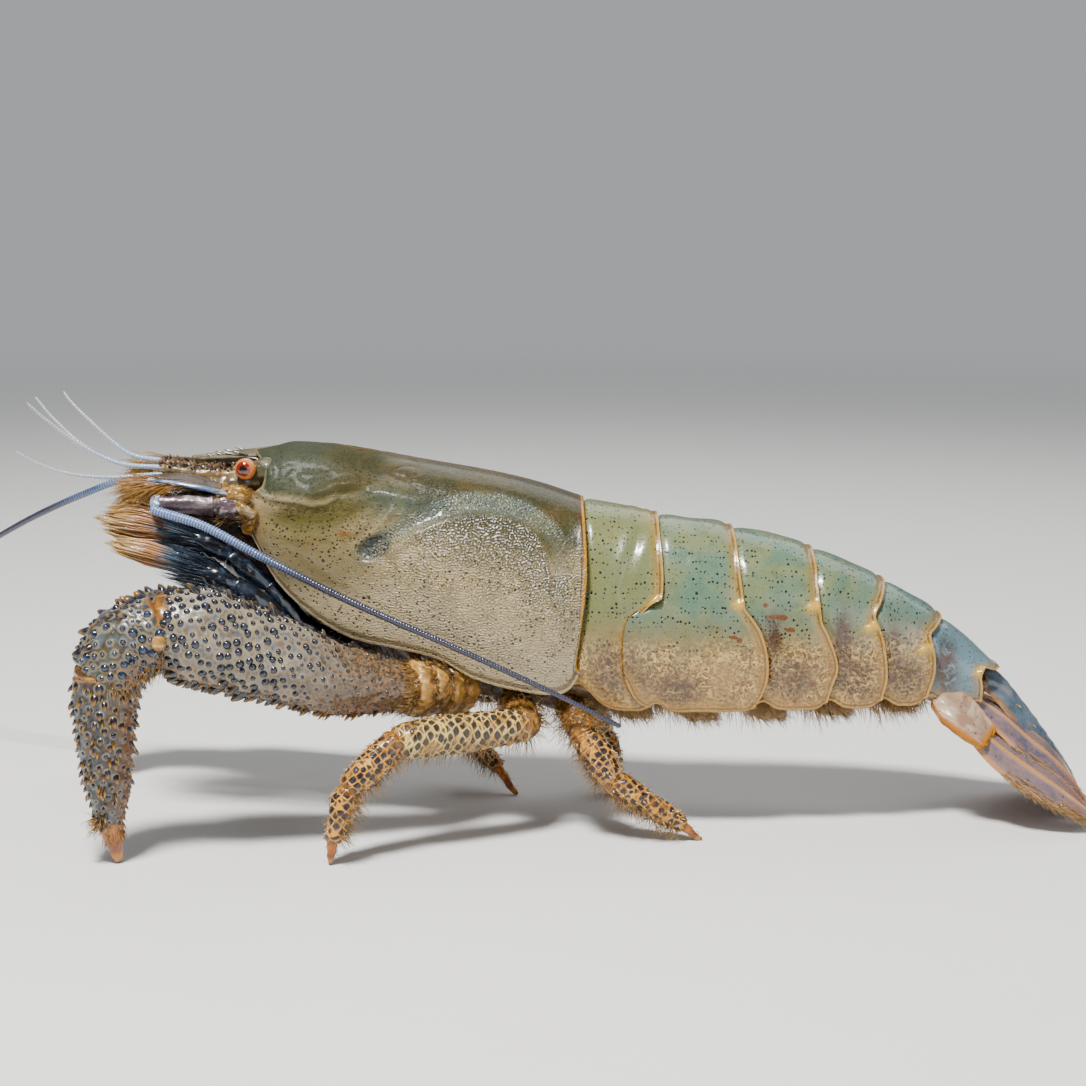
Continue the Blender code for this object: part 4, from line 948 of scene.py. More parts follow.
def studdedSegment(name, shape, grid, studs, finish, studFinish, replaces, warmth):
    # studs is (u, v, size, height, lean): domes and spines standing on the skin
    u, v, size, height, lean = studs
    places, normals = frameOn(shape, u, v)
    ahead = unit(shape(u, np.clip(v + 0.03, 0, 1)) - places)
    ways = unit(normals + ahead * lean[:, None])

    def relief(pu, pv, spots):
        near = studDistances(spots, places, size)
        return 0.16 * hump(near - 1.1, 0.55) + 0.12 * ripples(spots, 2.2, 3)

    def marks(pu, pv, spots):
        return {"stud": np.clip(studDistances(spots, places, size) / 4, 0, 1),
                "warm": np.maximum(warmEnds(pu, pv, spots), warmth(pu)),
                "down": np.maximum(pv, grid[0] < 110)}      # only the upper leg darkens to its root
    limbPiece(name, shape, grid, finish, "studded_leg", replaces, relief, marks)
    roots = places - normals * 0.12
    tips = places + ways * height[:, None]
    mids = (roots + tips) / 2 + normals * (height * 0.18)[:, None]
    rings = ((0, 1.3), (0.12, 1.22), (0.34, 0.95), (0.62, 0.72), (0.86, 0.4), (1.0, 0.0))
    manyTubes(name + "Studs", roots, mids, tips, size, rings, 8, studFinish, "studded_leg",
              marks={"spine": easeStep(height / size, 1.3, 2.4)})


def warmEnds(u, v, places):
    return np.maximum(1 - easeStep(v, 0.02, 0.1), easeStep(v, 0.93, 0.99))


def studdedMaterial(name, pale, dark, warm):
    material = newMaterial(name)
    place = objectSpace()
    fine, stud = noise(place, 2400, 3), mark("stud")
    grains = dotted(place, 1500.0, 0.34, 0.55)
    colour = layered(
        blend(mottled(place, 330.0, 0.36, 0.64), pale, dark),
        (ease(noise(place, 640, 3), 0.5, 0.64, 0.0, 0.6), (104, 118, 130)),
        (ease(noise(place, 900, 4), 0.5, 0.7), warm),
        ((1.0 - ease(abs(stud - 0.33), 0.03, 0.14)) * 0.35, (196, 178, 146)),
        (grains * ease(stud, 0.5, 0.8) * 0.7, (70, 66, 62)),
        (ease(mark("down"), 0.56, 0.16, 0.0, 0.85),
         blend(ease(fine, 0.4, 0.6), (54, 40, 30), (140, 106, 72))),
        (mark("warm") * 0.8, blend(fine, (136, 78, 34), (178, 122, 62))))
    return dressed(material, colour, ease(fine, 0.3, 0.7, 0.26, 0.46), 0.35, 0.15,
                   Normal=bump(fine * 0.5 + grains * 0.6, 0.12, 0.9))


def studMaterial(name, dome, top, base, tip):
    material = newMaterial(name)
    along = mark("along")
    # each dome lightens towards its top: a painted highlight
    body = layered(blend(mark("lot"), dome, blend(0.5, dome, top)), (ease(along, 0.55, 1.0), top))
    sharp = blend(ease(along, 0.3, 0.75), body, tip)
    colour = layered(body, (mark("spine"), sharp), ((1.0 - ease(along, 0.1, 0.26)) * 0.85, base))
    fine = noise(objectSpace(), 3000, 2)
    return dressed(material, colour, ease(fine, 0.3, 0.7, 0.14, 0.26), 0.6, 0.06)


def bristleMaterial(name, root, middle, tip, rough=0.4):
    material = newMaterial(name)
    along, lot = mark("along"), mark("lot")
    colour = layered(root, (ease(along, 0.05, 0.5), middle), (ease(along, 0.55, 1.0), tip),
                     (lot * 0.4, tuple(value * 0.35 for value in tint(*middle))))
    return dressed(material, colour, ease(lot, 0.0, 1.0, rough - 0.1, rough + 0.1), 0.3)


def hairs(name, roots, ways, lengths, radii, finish, slot, curl, sag=0.0, rootPlace=None, seed=0):
    # bristles that leave the skin along ways, bend at random by curl and hang by sag
    own = lots(seed + 7)
    count = len(roots)
    lengths = np.broadcast_to(np.asarray(lengths, float), count)[:, None]
    radii = np.broadcast_to(np.asarray(radii, float), count)
    ways = unit(ways)
    tips = roots + ways * lengths + own.normal(size=(count, 3)) * curl * lengths
    tips[:, 2] -= sag * lengths[:, 0]
    mids = roots + ways * lengths * 0.55 + own.normal(size=(count, 3)) * curl * 0.4 * lengths
    for points in (tips, mids):
        points[:, 2] = np.maximum(points[:, 2], 0.15)      # none of it reaches into the floor
    rings = ((0, 0.0), (0.04, 1.0), (0.4, 0.85), (0.75, 0.55), (1.0, 0.0))
    manyTubes(name, roots, mids, tips, radii, rings, 3, finish, slot, rootPlace=rootPlace)


def somewhere(shape, own, count, uRange, vRange, inOrderAlong=False):
    # random places in part of a surface, with the normals and the way along it
    u = (uRange[0] + (uRange[1] - uRange[0]) * own.random(count)) % 1
    v = vRange[0] + (vRange[1] - vRange[0]) * own.random(count)
    if inOrderAlong:
        v = np.sort(v)
    forward = unit(shape(u, np.clip(v + 0.02, 0, 1)) - shape(u, np.clip(v - 0.02, 0, 1)))
    return u, v, *frameOn(shape, u, v), forward


def hairsOn(name, shape, count, uRange, vRange, length, radius, finish, slot, ahead=0.5, stand=1.0,
            curl=0.15, sag=0.0, seed=0, spread=0.25):
    # bristles scattered over part of a surface
    own = lots(seed + 70)
    u, v, places, normals, forward = somewhere(shape, own, count, uRange, vRange)
    ways = normals * stand + forward * ahead + own.normal(size=(count, 3)) * spread
    lengths = length * own.uniform(0.55, 1.15, count)
    hairs(name, places - normals * 0.05, ways, lengths, radius * own.uniform(0.7, 1.2, count), finish,
          slot, curl, sag, np.stack([u, v], -1), seed)


def spineTubes(name, roots, mids, tips, radius, foot, finish, slot):
    rings = ((0, foot), (0.4, 0.8), (0.8, 0.4), (1.0, 0.0))
    manyTubes(name, roots, mids, tips, np.full(len(roots), radius), rings, 8, finish, slot,
              marks={"spine": np.ones(len(roots))})


def lerp(a, b, t):
    a, b = np.array(a, float), np.array(b, float)
    return a + (b - a) * t


def buildThirdBase(side, word, tail, joints):
    # the short first part, with plates and hair round it
    s = thirdLeg
    hip, ischium = joints[:2]
    baseShape = tubeShape(between(hip, ischium, s["base"]), domes=(0.5, 0.8))
    limbPiece("thirdBase" + tail, baseShape, (84, 60), "jointSkin", "joint_cuticle",
              ["third_leg_base_" + word],
              lambda u, v, p: (
                  0.2 * ripples(p, 1.7, 5) + 0.2 * ripples(p, 4, 6) - 0.5 * hump(v - 0.52, 0.03)))
    for number, (at, swell) in enumerate(s["basePlates"]):
        label = str(number + 1) + tail
        hairsOn("thirdBaseHair" + label, baseShape, 320, (0, 1), (at - 0.06, at + 0.03), 2.3, 0.05,
                "warmHair", "joint_cuticle", ahead=1.3, stand=0.45, curl=0.16, sag=0.1,
                seed=3 + side + number, spread=0.3)
        edge = between(hip, ischium, [(at * 1.1 - 0.1 + k, r, r * 1.02) for k, r in (
            (-0.16, 2.2 + at + 0.3), (-0.02, 2.6 + at * 0.75 + swell * 0.5), (0.05, 2.2 + at * 0.6))])
        limb("thirdBasePlate" + label, edge, (0.3, 0.4), (96, 30), "hipMembrane",
             "joint_cuticle", (), lambda u, v, p: (
                 0.14 * ripples(p, 1.5, 12) + 0.1 * np.abs(np.sin(tau * u * 7 + 3 * v))))


def buildThirdSegments(side, word, tail, joints):
    # the three studded parts
    s = thirdLeg
    inset = s["inset"]
    ischium, knee, wrist, ankle = joints[1:5]
    merus = [(*(lerp(ischium, knee, t) - np.array((0, 0, droop))), r * 0.94 - inset, r - inset)
             for t, r, droop in s["merus"]]
    bow = lerp(knee, wrist, 0.5)
    bow = bow + unit(bow - lerp(ischium, ankle, 0.5)) * s["carpusBow"]
    carpus = [(*place, wide - inset, high - inset) for place, wide, high in (
        (knee + (bow - knee) * 0.04, 4.3, 4.6), (lerp(knee, bow, 0.5), 4.5, 4.9), (bow, 4.6, 5.0),
        (lerp(bow, wrist, 0.6), 4.35, 4.6), (lerp(bow, wrist, 0.97), 4.0, 4.2))]
    propodus = between(wrist, ankle, [(t, r - inset) for t, r in s["propodus"]])
    own = lots(21 + side)
    for segment, stations, domes in (("Merus", merus, (0.4, 1.0)), ("Carpus", carpus, (0.7, 0.7)),
                                     ("Propodus", propodus, (0.8, 0.6))):
        name = "third" + segment
        shape = tubeShape(stations, domes=domes)
        (grid, count, vRange, seed, finish, studFinish, spineLength, domed, leans,
         warmSide) = s["segments"][segment]
        u, v = goldenSpread(count, *vRange, seed=seed + side)
        if segment == "Merus":
            size = (0.27 + 0.25 * easeStep(v, 0.25, 0.62)) * own.uniform(0.7, 1.15, len(u))
            sharpShare = 0.85 * (0.35 * hump(u - 0.25, 0.06) + hump(u - 0.75, 0.08))
        elif segment == "Carpus":
            size = own.uniform(0.32, 0.62, len(u))
            sharpShare = 0.75 * hump(u - 0.3, 0.14)
        else:
            size = own.uniform(0.26, 0.44, len(u)) * (1.1 - 0.4 * v)
            sharpShare = 0.8
        sharp = own.random(len(u)) < sharpShare
        height = np.where(sharp, size * own.uniform(*spineLength, len(u)), size * domed)
        studdedSegment(name + tail, shape, grid, (u, v, size, height, np.where(sharp, *leans)), finish,
                       studFinish, ["third_leg_" + segment.lower() + "_" + word],
                       lambda u: warmSide[0] * hump(u - warmSide[1], warmSide[2]))
        *hooks, seed, ahead = s["hooks"][segment]
        spinesOn(name + "Hooks" + tail, shape, *hooks, "goldSpines", "studded_leg", seed=seed + side,
                 ahead=ahead)
        if segment in s["hair"]:
            *hair, ahead, curl, seed = s["hair"][segment]
            hairsOn(name + "Hair" + tail, shape, *hair, 0.05, "warmHair", "studded_leg", ahead=ahead,
                    stand=0.8, curl=curl, seed=seed + side)


def buildThirdToe(side, word, tail, joints):
    ankle, toe = joints[4:]
    dactyl = between(ankle, toe, ((0.0, 1.6), (0.3, 1.4), (0.6, 1.05), (0.85, 0.7)))
    dactyl = tubeShape(dactyl + [(*(toe + np.array((0, 0, 0.22))), 0.45, 0.45)], broad=(1, 0, 0),
                       domes=(0.5, 0.2))
    limbPiece("thirdDactyl" + tail, dactyl, (40, 40), "amberClaw", "claw", ["third_leg_dactyl_" + word],
              lambda u, v, p: (
                  0.05 * ripples(p, 1.3, 2) - 0.12 * (1 - v) * np.abs(np.sin(tau * u * 2.5)) ** 4),
              legMarks(warmEnds))
    hairsOn("thirdDactylHair" + tail, dactyl, 120, (0, 1), (0.05, 0.5), 1.3, 0.05, "warmHair", "claw",
            ahead=1.2, stand=0.5, curl=0.12, seed=71 + side)


def buildThirdJoints(side, tail, joints):
    # the knee's round boss, and soft skin with hair in the three joints
    ischium, knee, wrist, ankle, toe = joints[1:]
    boss = knee + np.array((0.3, side * 4.3, -1.2))
    disc = [(*(boss + np.array((0.0, side * out, 0.0))), wide, high)
            for out, wide, high in ((-0.8, 0.9, 1.0), (0.3, 0.9, 1.0), (0.62, 0.72, 0.8))]
    limbPiece("thirdKneeBoss" + tail, tubeShape(disc, broad=(1, 0, 0), domes=(0.1, 0.25)), (48, 30),
              "hipMembrane", "joint_cuticle", (), lambda u, v, p: -0.3 * (v > 0.93) * (v - 0.93) / 0.07)
    for joint, place, way, radius in (("Knee", knee, wrist - ischium, 4.1),
                                      ("Wrist", wrist, ankle - knee, 3.5),
                                      ("Ankle", ankle, toe - wrist, 1.55)):
        ring = tubeShape([(*(place + unit(way) * k), radius * r, radius * r)
                          for k, r in ((-1.1, 0.9), (0.0, 1.0), (1.1, 0.9))], domes=(0.3, 0.3))
        limbPiece("third" + joint + "Skin" + tail, ring, (48, 20), "jointSkin", "joint_cuticle", (),
                  rippled(0.12, 1.5, 4))
        hairsOn("third" + joint + "Hair" + tail, ring, 130, (0.55, 0.95), (0.2, 0.8), 1.7, 0.06,
                "warmHair", "joint_cuticle", ahead=0.2, stand=0.9, curl=0.2, sag=0.3, seed=14 + side)


def buildThirdLegs():
    for side, word, tail in sides:
        joints = onSide(thirdLeg["joints"][side], side)
        buildThirdBase(side, word, tail, joints)
        buildThirdSegments(side, word, tail, joints)
        buildThirdToe(side, word, tail, joints)
        buildThirdJoints(side, tail, joints)


# the fourth and fifth legs: slender, netted with cream

slenderLegs = {
    "fourth": {
        "joints": {
            left: ((-3.8, 6.0, 16.4), (-2.2, 11.4, 14.9), (-18.4, 18.8, 14.7), (-24.2, 21.5, 9.3),
                   (-26.1, 22.7, 3.1), (-26.5, 23.0, 0.0)),
            right: ((-3.8, 6.0, 16.4), (-2.6, 11.4, 14.6), (-13.4, 16.6, 13.6), (-11.6, 13.8, 7.6),
                    (-6.2, 9.6, 3.3), (-3.6, 7.0, 0.0))},
        "sizes": (2.3, 2.55, 1.95, 1.35), "merusFinish": "nettedSkin"},
    "fifth": {
        "joints": {
            left: ((3.4, 5.4, 16.0), (5.0, 10.4, 13.9), (8.9, 12.2, 7.7), (13.6, 12.7, 4.8),
                   (18.0, 12.9, 2.0), (20.4, 13.0, 0.0)),
            right: ((3.4, 5.4, 16.0), (5.2, 9.8, 13.4), (8.4, 11.2, 7.6), (9.6, 9.2, 4.2),
                    (9.6, 7.2, 1.9), (9.2, 6.0, 0.0))},
        "sizes": (2.0, 2.2, 1.75, 1.25), "merusFinish": "nettedFine"},
    "inset": 0.12, "hairLength": 1.9,
}


def nettedMaterial(name, net, spot, ground, scale, drawn=(1, 1, 1)):
    # a cream net with a dark spot in each mesh
    material = newMaterial(name)
    place = objectSpace()
    moved = shifted(place, 0.5, 700.0, 2.0, stretched(place, drawn, (0.5, 0.7, 0.3)))
    edge = node("TexVoronoi", "Distance", {"feature": "DISTANCE_TO_EDGE"}, Vector=moved, Scale=scale,
                Randomness=0.36)
    middle, colours = node("TexVoronoi", ["Distance", "Color"], Vector=moved, Scale=scale, Randomness=0.36)
    lot = node("SeparateColor", "Red", Color=colours)
    lines = 1.0 - ease(edge, 0.06, 0.17)
    dark = 1.0 - ease(calc("MULTIPLY_ADD", lot, 0.1, middle), 0.4, 0.54)
    fine, soft = noise(place, 3000, 3), noise(place, 420, 3)
    colour = layered(
        blend(ease(soft, 0.4, 0.65), ground, blend(0.3, ground, net)),
        (lines, blend(ease(soft, 0.4, 0.7), net, (196, 136, 74))),
        (dark * 0.92, spot),
        (mark("warm") * 0.85, blend(fine, (150, 92, 44), (206, 150, 88))))
    return dressed(material, colour, ease(fine, 0.3, 0.7, 0.24, 0.42), 0.4, 0.12,
                   Normal=bump(lines * 0.9 + fine * 0.3 - dark * 0.5, 0.32, 1.0))


def clawMaterial(name):
    # amber horn, darkening to the tip
    material = newMaterial(name)
    streak = noise(stretched(objectSpace(), (3, 3, 0.6)), 900, 4)
    down = mark("down")
    colour = layered(blend(streak, (164, 92, 36), (206, 138, 68)),
                     (ease(down, 0.35, 0.62) * 0.75, (120, 54, 18)),
                     (ease(down, 0.66, 0.8), (196, 136, 72)), (ease(down, 0.86, 0.97), (60, 38, 24)))
    return dressed(material, colour, ease(streak, 0.3, 0.7, 0.18, 0.32), 0.5,
                   Normal=bump(streak, 0.06, 0.8))


def legMarks(warmth):
    return lambda u, v, places: {"warm": warmth(u, v, places), "down": v}


def spinesOn(name, shape, count, uRange, vRange, size, length, finish, slot, seed=0, ahead=0.8):
    own = lots(seed + 55)
    *_, places, normals, forward = somewhere(shape, own, count, uRange, vRange, True)
    lengths = length * own.uniform(0.6, 1.2, count)
    roots = places - normals * 0.1
    tips = roots + unit(normals + forward * ahead) * lengths[:, None]
    mids = (roots + tips) / 2 + normals * (lengths * 0.12)[:, None]
    manyTubes(name, roots, mids, tips, size * own.uniform(0.8, 1.2, count),
              ((0, 1.2), (0.3, 0.85), (0.7, 0.5), (1.0, 0.0)), 6, finish, slot,
              marks={"spine": np.ones(count)})


def slenderEnds(u, v, places):
    return np.maximum(1 - easeStep(v, 0.02, 0.16), easeStep(v, 0.9, 0.99))


def buildSlenderLegs():
    for rank, side, word, tail in legs("fourth", "fifth"):
        plan = slenderLegs[rank]
        baseSize, merusSize, wristSize, ankleSize = (size - slenderLegs["inset"] for size in plan["sizes"])
        hip, ischium, knee, wrist, ankle, toe = onSide(plan["joints"][side], side)
        upperWay, lowerWay = unit(knee - ischium), unit(wrist - knee)
        bend = math.acos(float(np.clip(upperWay @ lowerWay, -1, 1)))
        clear = merusSize * math.tan(bend / 2) * 0.95 + 0.4
        stop = 1 - clear / np.linalg.norm(knee - ischium)
        start = clear / np.linalg.norm(wrist - knee)
        kneeWay = unit(upperWay + lowerWay) * 0.1
        base = between(hip, ischium, ((0.0, baseSize), (0.55, baseSize * 1.05), (1.0, merusSize * 0.86)))
        merus = between(ischium, knee, [(at, merusSize * share) for at, share in (
            (0.02, 0.86), (0.3 * stop, 0.98), (0.65 * stop, 1.05), (stop, 0.95))])
        merus.append((*(knee - kneeWay), merusSize * 0.8, merusSize * 0.8))
        carpus = [(*(knee + kneeWay), wristSize * 0.98, wristSize * 0.98)] + between(knee, wrist, [
            (at, wristSize * share) for at, share in ((max(start, 0.3), 1.1), (0.7, 1.06), (0.97, 0.9))])
        propodus = between(wrist, ankle, ((0.03, wristSize * 0.84), (0.25, wristSize * 0.95),
                                          (0.6, (wristSize + ankleSize) * 0.48), (0.97, ankleSize * 0.9)))
        dactyl = between(ankle, toe, ((-0.02, ankleSize * 0.55), (0.45, ankleSize * 0.46), (0.8, 0.4)))
        dactyl.append((*(toe + np.array((0, 0, 0.22))), 0.22, 0.22))
        for label, stations, domes, grid, finish, replaces in (
                ("Base", base, (0.5, 1.0), (64, 60), "jointSkin", (rank + "_leg_upper_" + word,)),
                ("Merus", merus, (1.2, 0.9), (64, 96), plan["merusFinish"], ()),
                ("Carpus", carpus, (0.9, 0.6), (64, 56), "nettedFine", (rank + "_leg_lower_" + word,)),
                ("Propodus", propodus, (0.8, 0.6), (56, 56), "nettedFine", ()),
                ("Dactyl", dactyl, (0.3, 0.12), (28, 36), "amberClaw", ())):
            shape = tubeShape(stations, (0.2, 1, 0) if label == "Dactyl" else (0, 1, 0), domes)
            name = rank + label + tail
            seed = len(name)
            coils = 0.11 if label in ("Merus", "Base") else 0.0
            limbPiece(name, shape, grid, finish, "slender_leg", replaces, lambda u, v, p: (
                0.06 * ripples(p, 1.1, 3) + 0.06 * ripples(p, 3.0, 4)
                + coils * np.sin(tau * v / 0.055) * (1 - easeStep(v, 0.14, 0.3))), legMarks(slenderEnds))
            # name, number, where round and along, length, radius, forward, out, curl, sag and seed
            if label == "Base":
                tufts = (("Hair", 360, (0, 1), (0.1, 0.95), 2.2, 0.045,
                          0.4, 0.7, 0.25, 0.35, seed + 2 * side),)
            elif label == "Dactyl":
                tufts = (("Hair", 26, (0, 1), (0.1, 0.7), 0.7, 0.03, 0.7, 0.8, 0.15, 0.0, seed + side),)
            else:
                spinesOn(name + "Spines", shape, 46 if label == "Merus" else 30, (0.1, 0.9), (0.1, 0.95),
                         0.13, 0.6, "creamSpines", "slender_leg", seed=seed + side)
                tufts = (("Hair", 210, (0.55, 0.95), (0.08, 0.96), slenderLegs["hairLength"], 0.035,
                          0.35, 1.0, 0.18, 0.15, seed + 3 * side),
                         ("TopHair", 60, (0.0, 0.5), (0.08, 0.96), 0.8, 0.035,
                          0.5, 1.0, 0.15, 0.0, seed + 5 * side))
            for tuft, count, uRange, vRange, length, radius, *manner in tufts:
                hairsOn(name + tuft, shape, count, uRange, vRange, length, radius, "warmHair",
                        "slender_leg", *manner)


# the filter legs: dark glossy arms that end in brushes

filterLegs = {
    "arms": {
        "first": ((-25.8, 4.4, 24.0), (-31.4, 5.0, 26.9), (-36.0, 5.7, 32.0), (-40.6, 6.2, 36.0),
                  (-45.6, 6.2, 38.6)),
        "second": ((-21.2, 5.1, 20.5), (-28.0, 6.7, 22.6), (-34.4, 8.7, 28.6), (-39.8, 9.0, 32.8),
                   (-44.6, 8.9, 34.9))},
    "fans": {
        "first": ((-46.0, 6.2, 38.9), (-57.2, 6.0, 41.2), 3.0, 1.1),
        "second": ((-45.0, 8.9, 35.2), (-55.4, 8.6, 38.3), 1.7, 1.0)},
    "bristles": 620, "handBristles": 460, "bristleRadius": 0.085,
}


def glossyDarkMaterial(name):
    material = newMaterial(name)
    place = objectSpace()
    streak = noise(stretched(place, (0.5, 1.5, 1.5)), 700, 4)
    # black-blue streaks; the pale blue patches over them are a painted sheen
    colour = layered(blend(ease(streak, 0.4, 0.62), (12, 15, 22), (26, 38, 56)),
                     (ease(noise(place, 380, 3), 0.6, 0.76), (62, 84, 98)))
    return dressed(material, colour, ease(streak, 0.3, 0.7, 0.16, 0.34), 0.7, 0.08,
                   Normal=bump(streak, 0.1, 0.8))


def brushMaterial(name):
    # navy where the bristles leave the hand, then amber, pale at the tips
    material = newMaterial(name)
    lot = mark("lot")
    shift = calc("MULTIPLY_ADD", lot, 0.22, mark("along"))
    colour = layered(
        (18, 30, 48), (ease(shift, 0.08, 0.3), (72, 98, 120)), (ease(shift, 0.3, 0.5), (168, 114, 52)),
        (ease(shift, 0.6, 1.05), blend(lot, (210, 160, 88), (240, 208, 150))),
        (ease(lot, 0.75, 0.8) * 0.6, (110, 66, 34)))
    return dressed(material, colour, ease(lot, 0.0, 1.0, 0.3, 0.45), 0.4)


def buildFilterLegs():
    s = filterLegs
    upright = np.array((0.0, 0.0, 1.0))
    for rank, side, word, tail in legs("first", "second"):
        hip, ischium, elbow, wrist, claw = onSide(s["arms"][rank], side)
        base, tip, halfHeight, halfWidth = s["fans"][rank]
        base, tip = onSide((base, tip), side)
        ahead = unit(tip - base)
        # a short body, the wrist piece, the palm and the two fingers
        merus = [(*hip, 0.9, 1.0), (*ischium, 1.1, 1.25)]
        merus += between(ischium, elbow, ((0.5, 1.2, 1.45), (0.95, 1.0, 1.25)))
        carpus = between(elbow, wrist, ((-0.02, 0.95, 1.15), (0.5, 1.3, 1.6), (0.95, 1.15, 1.35)))
        palm = between(wrist, claw, ((0.0, 0.95, 1.2), (0.45, 1.2, 1.5), (0.95, 0.9, 1.2)))
        for label, stations, replaces in (("Merus", merus, (rank + "_leg_arm_" + word,)),
                                          ("Carpus", carpus, ()),
                                          ("Palm", palm, ())):
            limb(rank + label + tail, stations, (0.6, 0.6), (40, 40), "blueBlackShell",
                 "filter_arm", replaces, lambda u, v, p: (
                     0.07 * ripples(p, 1.8, 6) + 0.07 * hump(np.abs(np.sin(tau * u)), 0.3)))
        up = unit(upright - ahead * (upright @ ahead))
        wide = np.cross(ahead, up)
        for label, lift in (("Upper", 0.75), ("Lower", -0.75)):
            root = lerp(wrist, claw, 0.72) + up * lift
            end = base + ahead * 2.6 + up * lift * 1.5
            finger = between(root, end, ((0.0, 0.7, 0.55), (0.5, 0.75, 0.6))) + [(*end, 0.45, 0.3)]
            limb(rank + label + "Finger" + tail, finger, (0.3, 0.6), (24, 24),
                 "blueBlackShell", "filter_arm", (), rippled(0.05, 1.2, 8))

        def around(a, b, middle, across, upwards):
            # places beside a line: a and b are shares across and upwards
            return middle + up * (b * upwards)[:, None] + wide * (a * across)[:, None]

        own = lots(90 + side)
        count = s["bristles"]
        a, b = roundSpots(own, count)
        start = own.uniform(-0.6, 2.2, count)
        length = np.linalg.norm(tip - base)
        roots = around(a, b, base + ahead * start[:, None], 0.7, 1.15)
        belly = around(a, b, base + ahead * (length * 0.52), halfWidth, halfHeight * 0.95)
        # clumps: neighbouring bristles meet at shared points
        spots = np.stack([a, b], -1)
        clump = np.round(spots * 2.6) / 2.6
        ends = 0.34 * spots + 0.66 * clump
        lot = np.modf(np.abs(np.sin(clump @ (12.9, 78.2)) * 43.7))[0]
        reachOut = length * (own.uniform(0.78, 0.92, count) + 0.18 * lot) - 0.1 * length * np.abs(b)
        tips = base + ahead * reachOut[:, None] + up * (ends[:, 1] * halfHeight * 0.62)[:, None]
        tips = tips + wide * (ends[:, 0] * halfWidth * 0.9)[:, None]
        tips = tips - upright * 0.25 * own.random(count)[:, None]
        mids = 2 * belly - (roots + tips) / 2
        rings = ((0, 0.0), (0.04, 1.0), (0.28, 1.0), (0.52, 0.9), (0.76, 0.65), (0.92, 0.35), (1.0, 0.0))
        radii = s["bristleRadius"] * own.uniform(0.7, 1.3, count)
        manyTubes(rank + "Brush" + tail, roots, mids, tips, radii, rings, 3, "brushBristles", "bristles",
                  (rank + "_leg_fan_" + word,), rootPlace=spots / 2 + 0.5)
        # navy bristles that cover the hand and close the gap to the next leg
        count = s["handBristles"]
        a, b = roundSpots(own, count)
        hand = lerp(wrist, claw, 0.1)
        roots = around(a, b, hand + (base - hand) * (own.random(count) * 0.75)[:, None], 1.0, 1.5)
        tips = around(a, b, roots + ahead * own.uniform(3.0, 6.5, count)[:, None], 0.4, 0.9)
        mids = (roots + tips) / 2 + up * (b * 0.5)[:, None]
        rings = ((0, 0.0), (0.05, 1.0), (0.4, 0.9), (0.75, 0.6), (1.0, 0.0))
        radii = s["bristleRadius"] * own.uniform(0.7, 1.3, count)
        manyTubes(rank + "HandBristles" + tail, roots, mids, tips, radii, rings, 3, "navyHair",
                  "bristles", rootPlace=np.stack([a, b], -1) / 2 + 0.5)
        core = [(*(base - ahead * 0.3), 0.5, 0.9)] + between(base, tip, (
            (0.3, halfWidth * 0.72, halfHeight * 0.72), (0.6, halfWidth * 0.66, halfHeight * 0.66),
            (0.84, 0.3, halfHeight * 0.3)))
        limb(rank + "BrushCore" + tail, core, (0.3, 0.5), (48, 60), "brushCore",
             "bristles", (), lambda u, v, p: 0.1 * np.sin(tau * u * 18 + 3 * ripples(p, 3.0, 2)),
             lambda u, v, p: {
                 "along": v, "lot": 0.5 + 0.5 * np.sin(tau * u * 7 + 4 * ripples(p, 4.0, 3))})


# eyes, rostrum and the front of the head

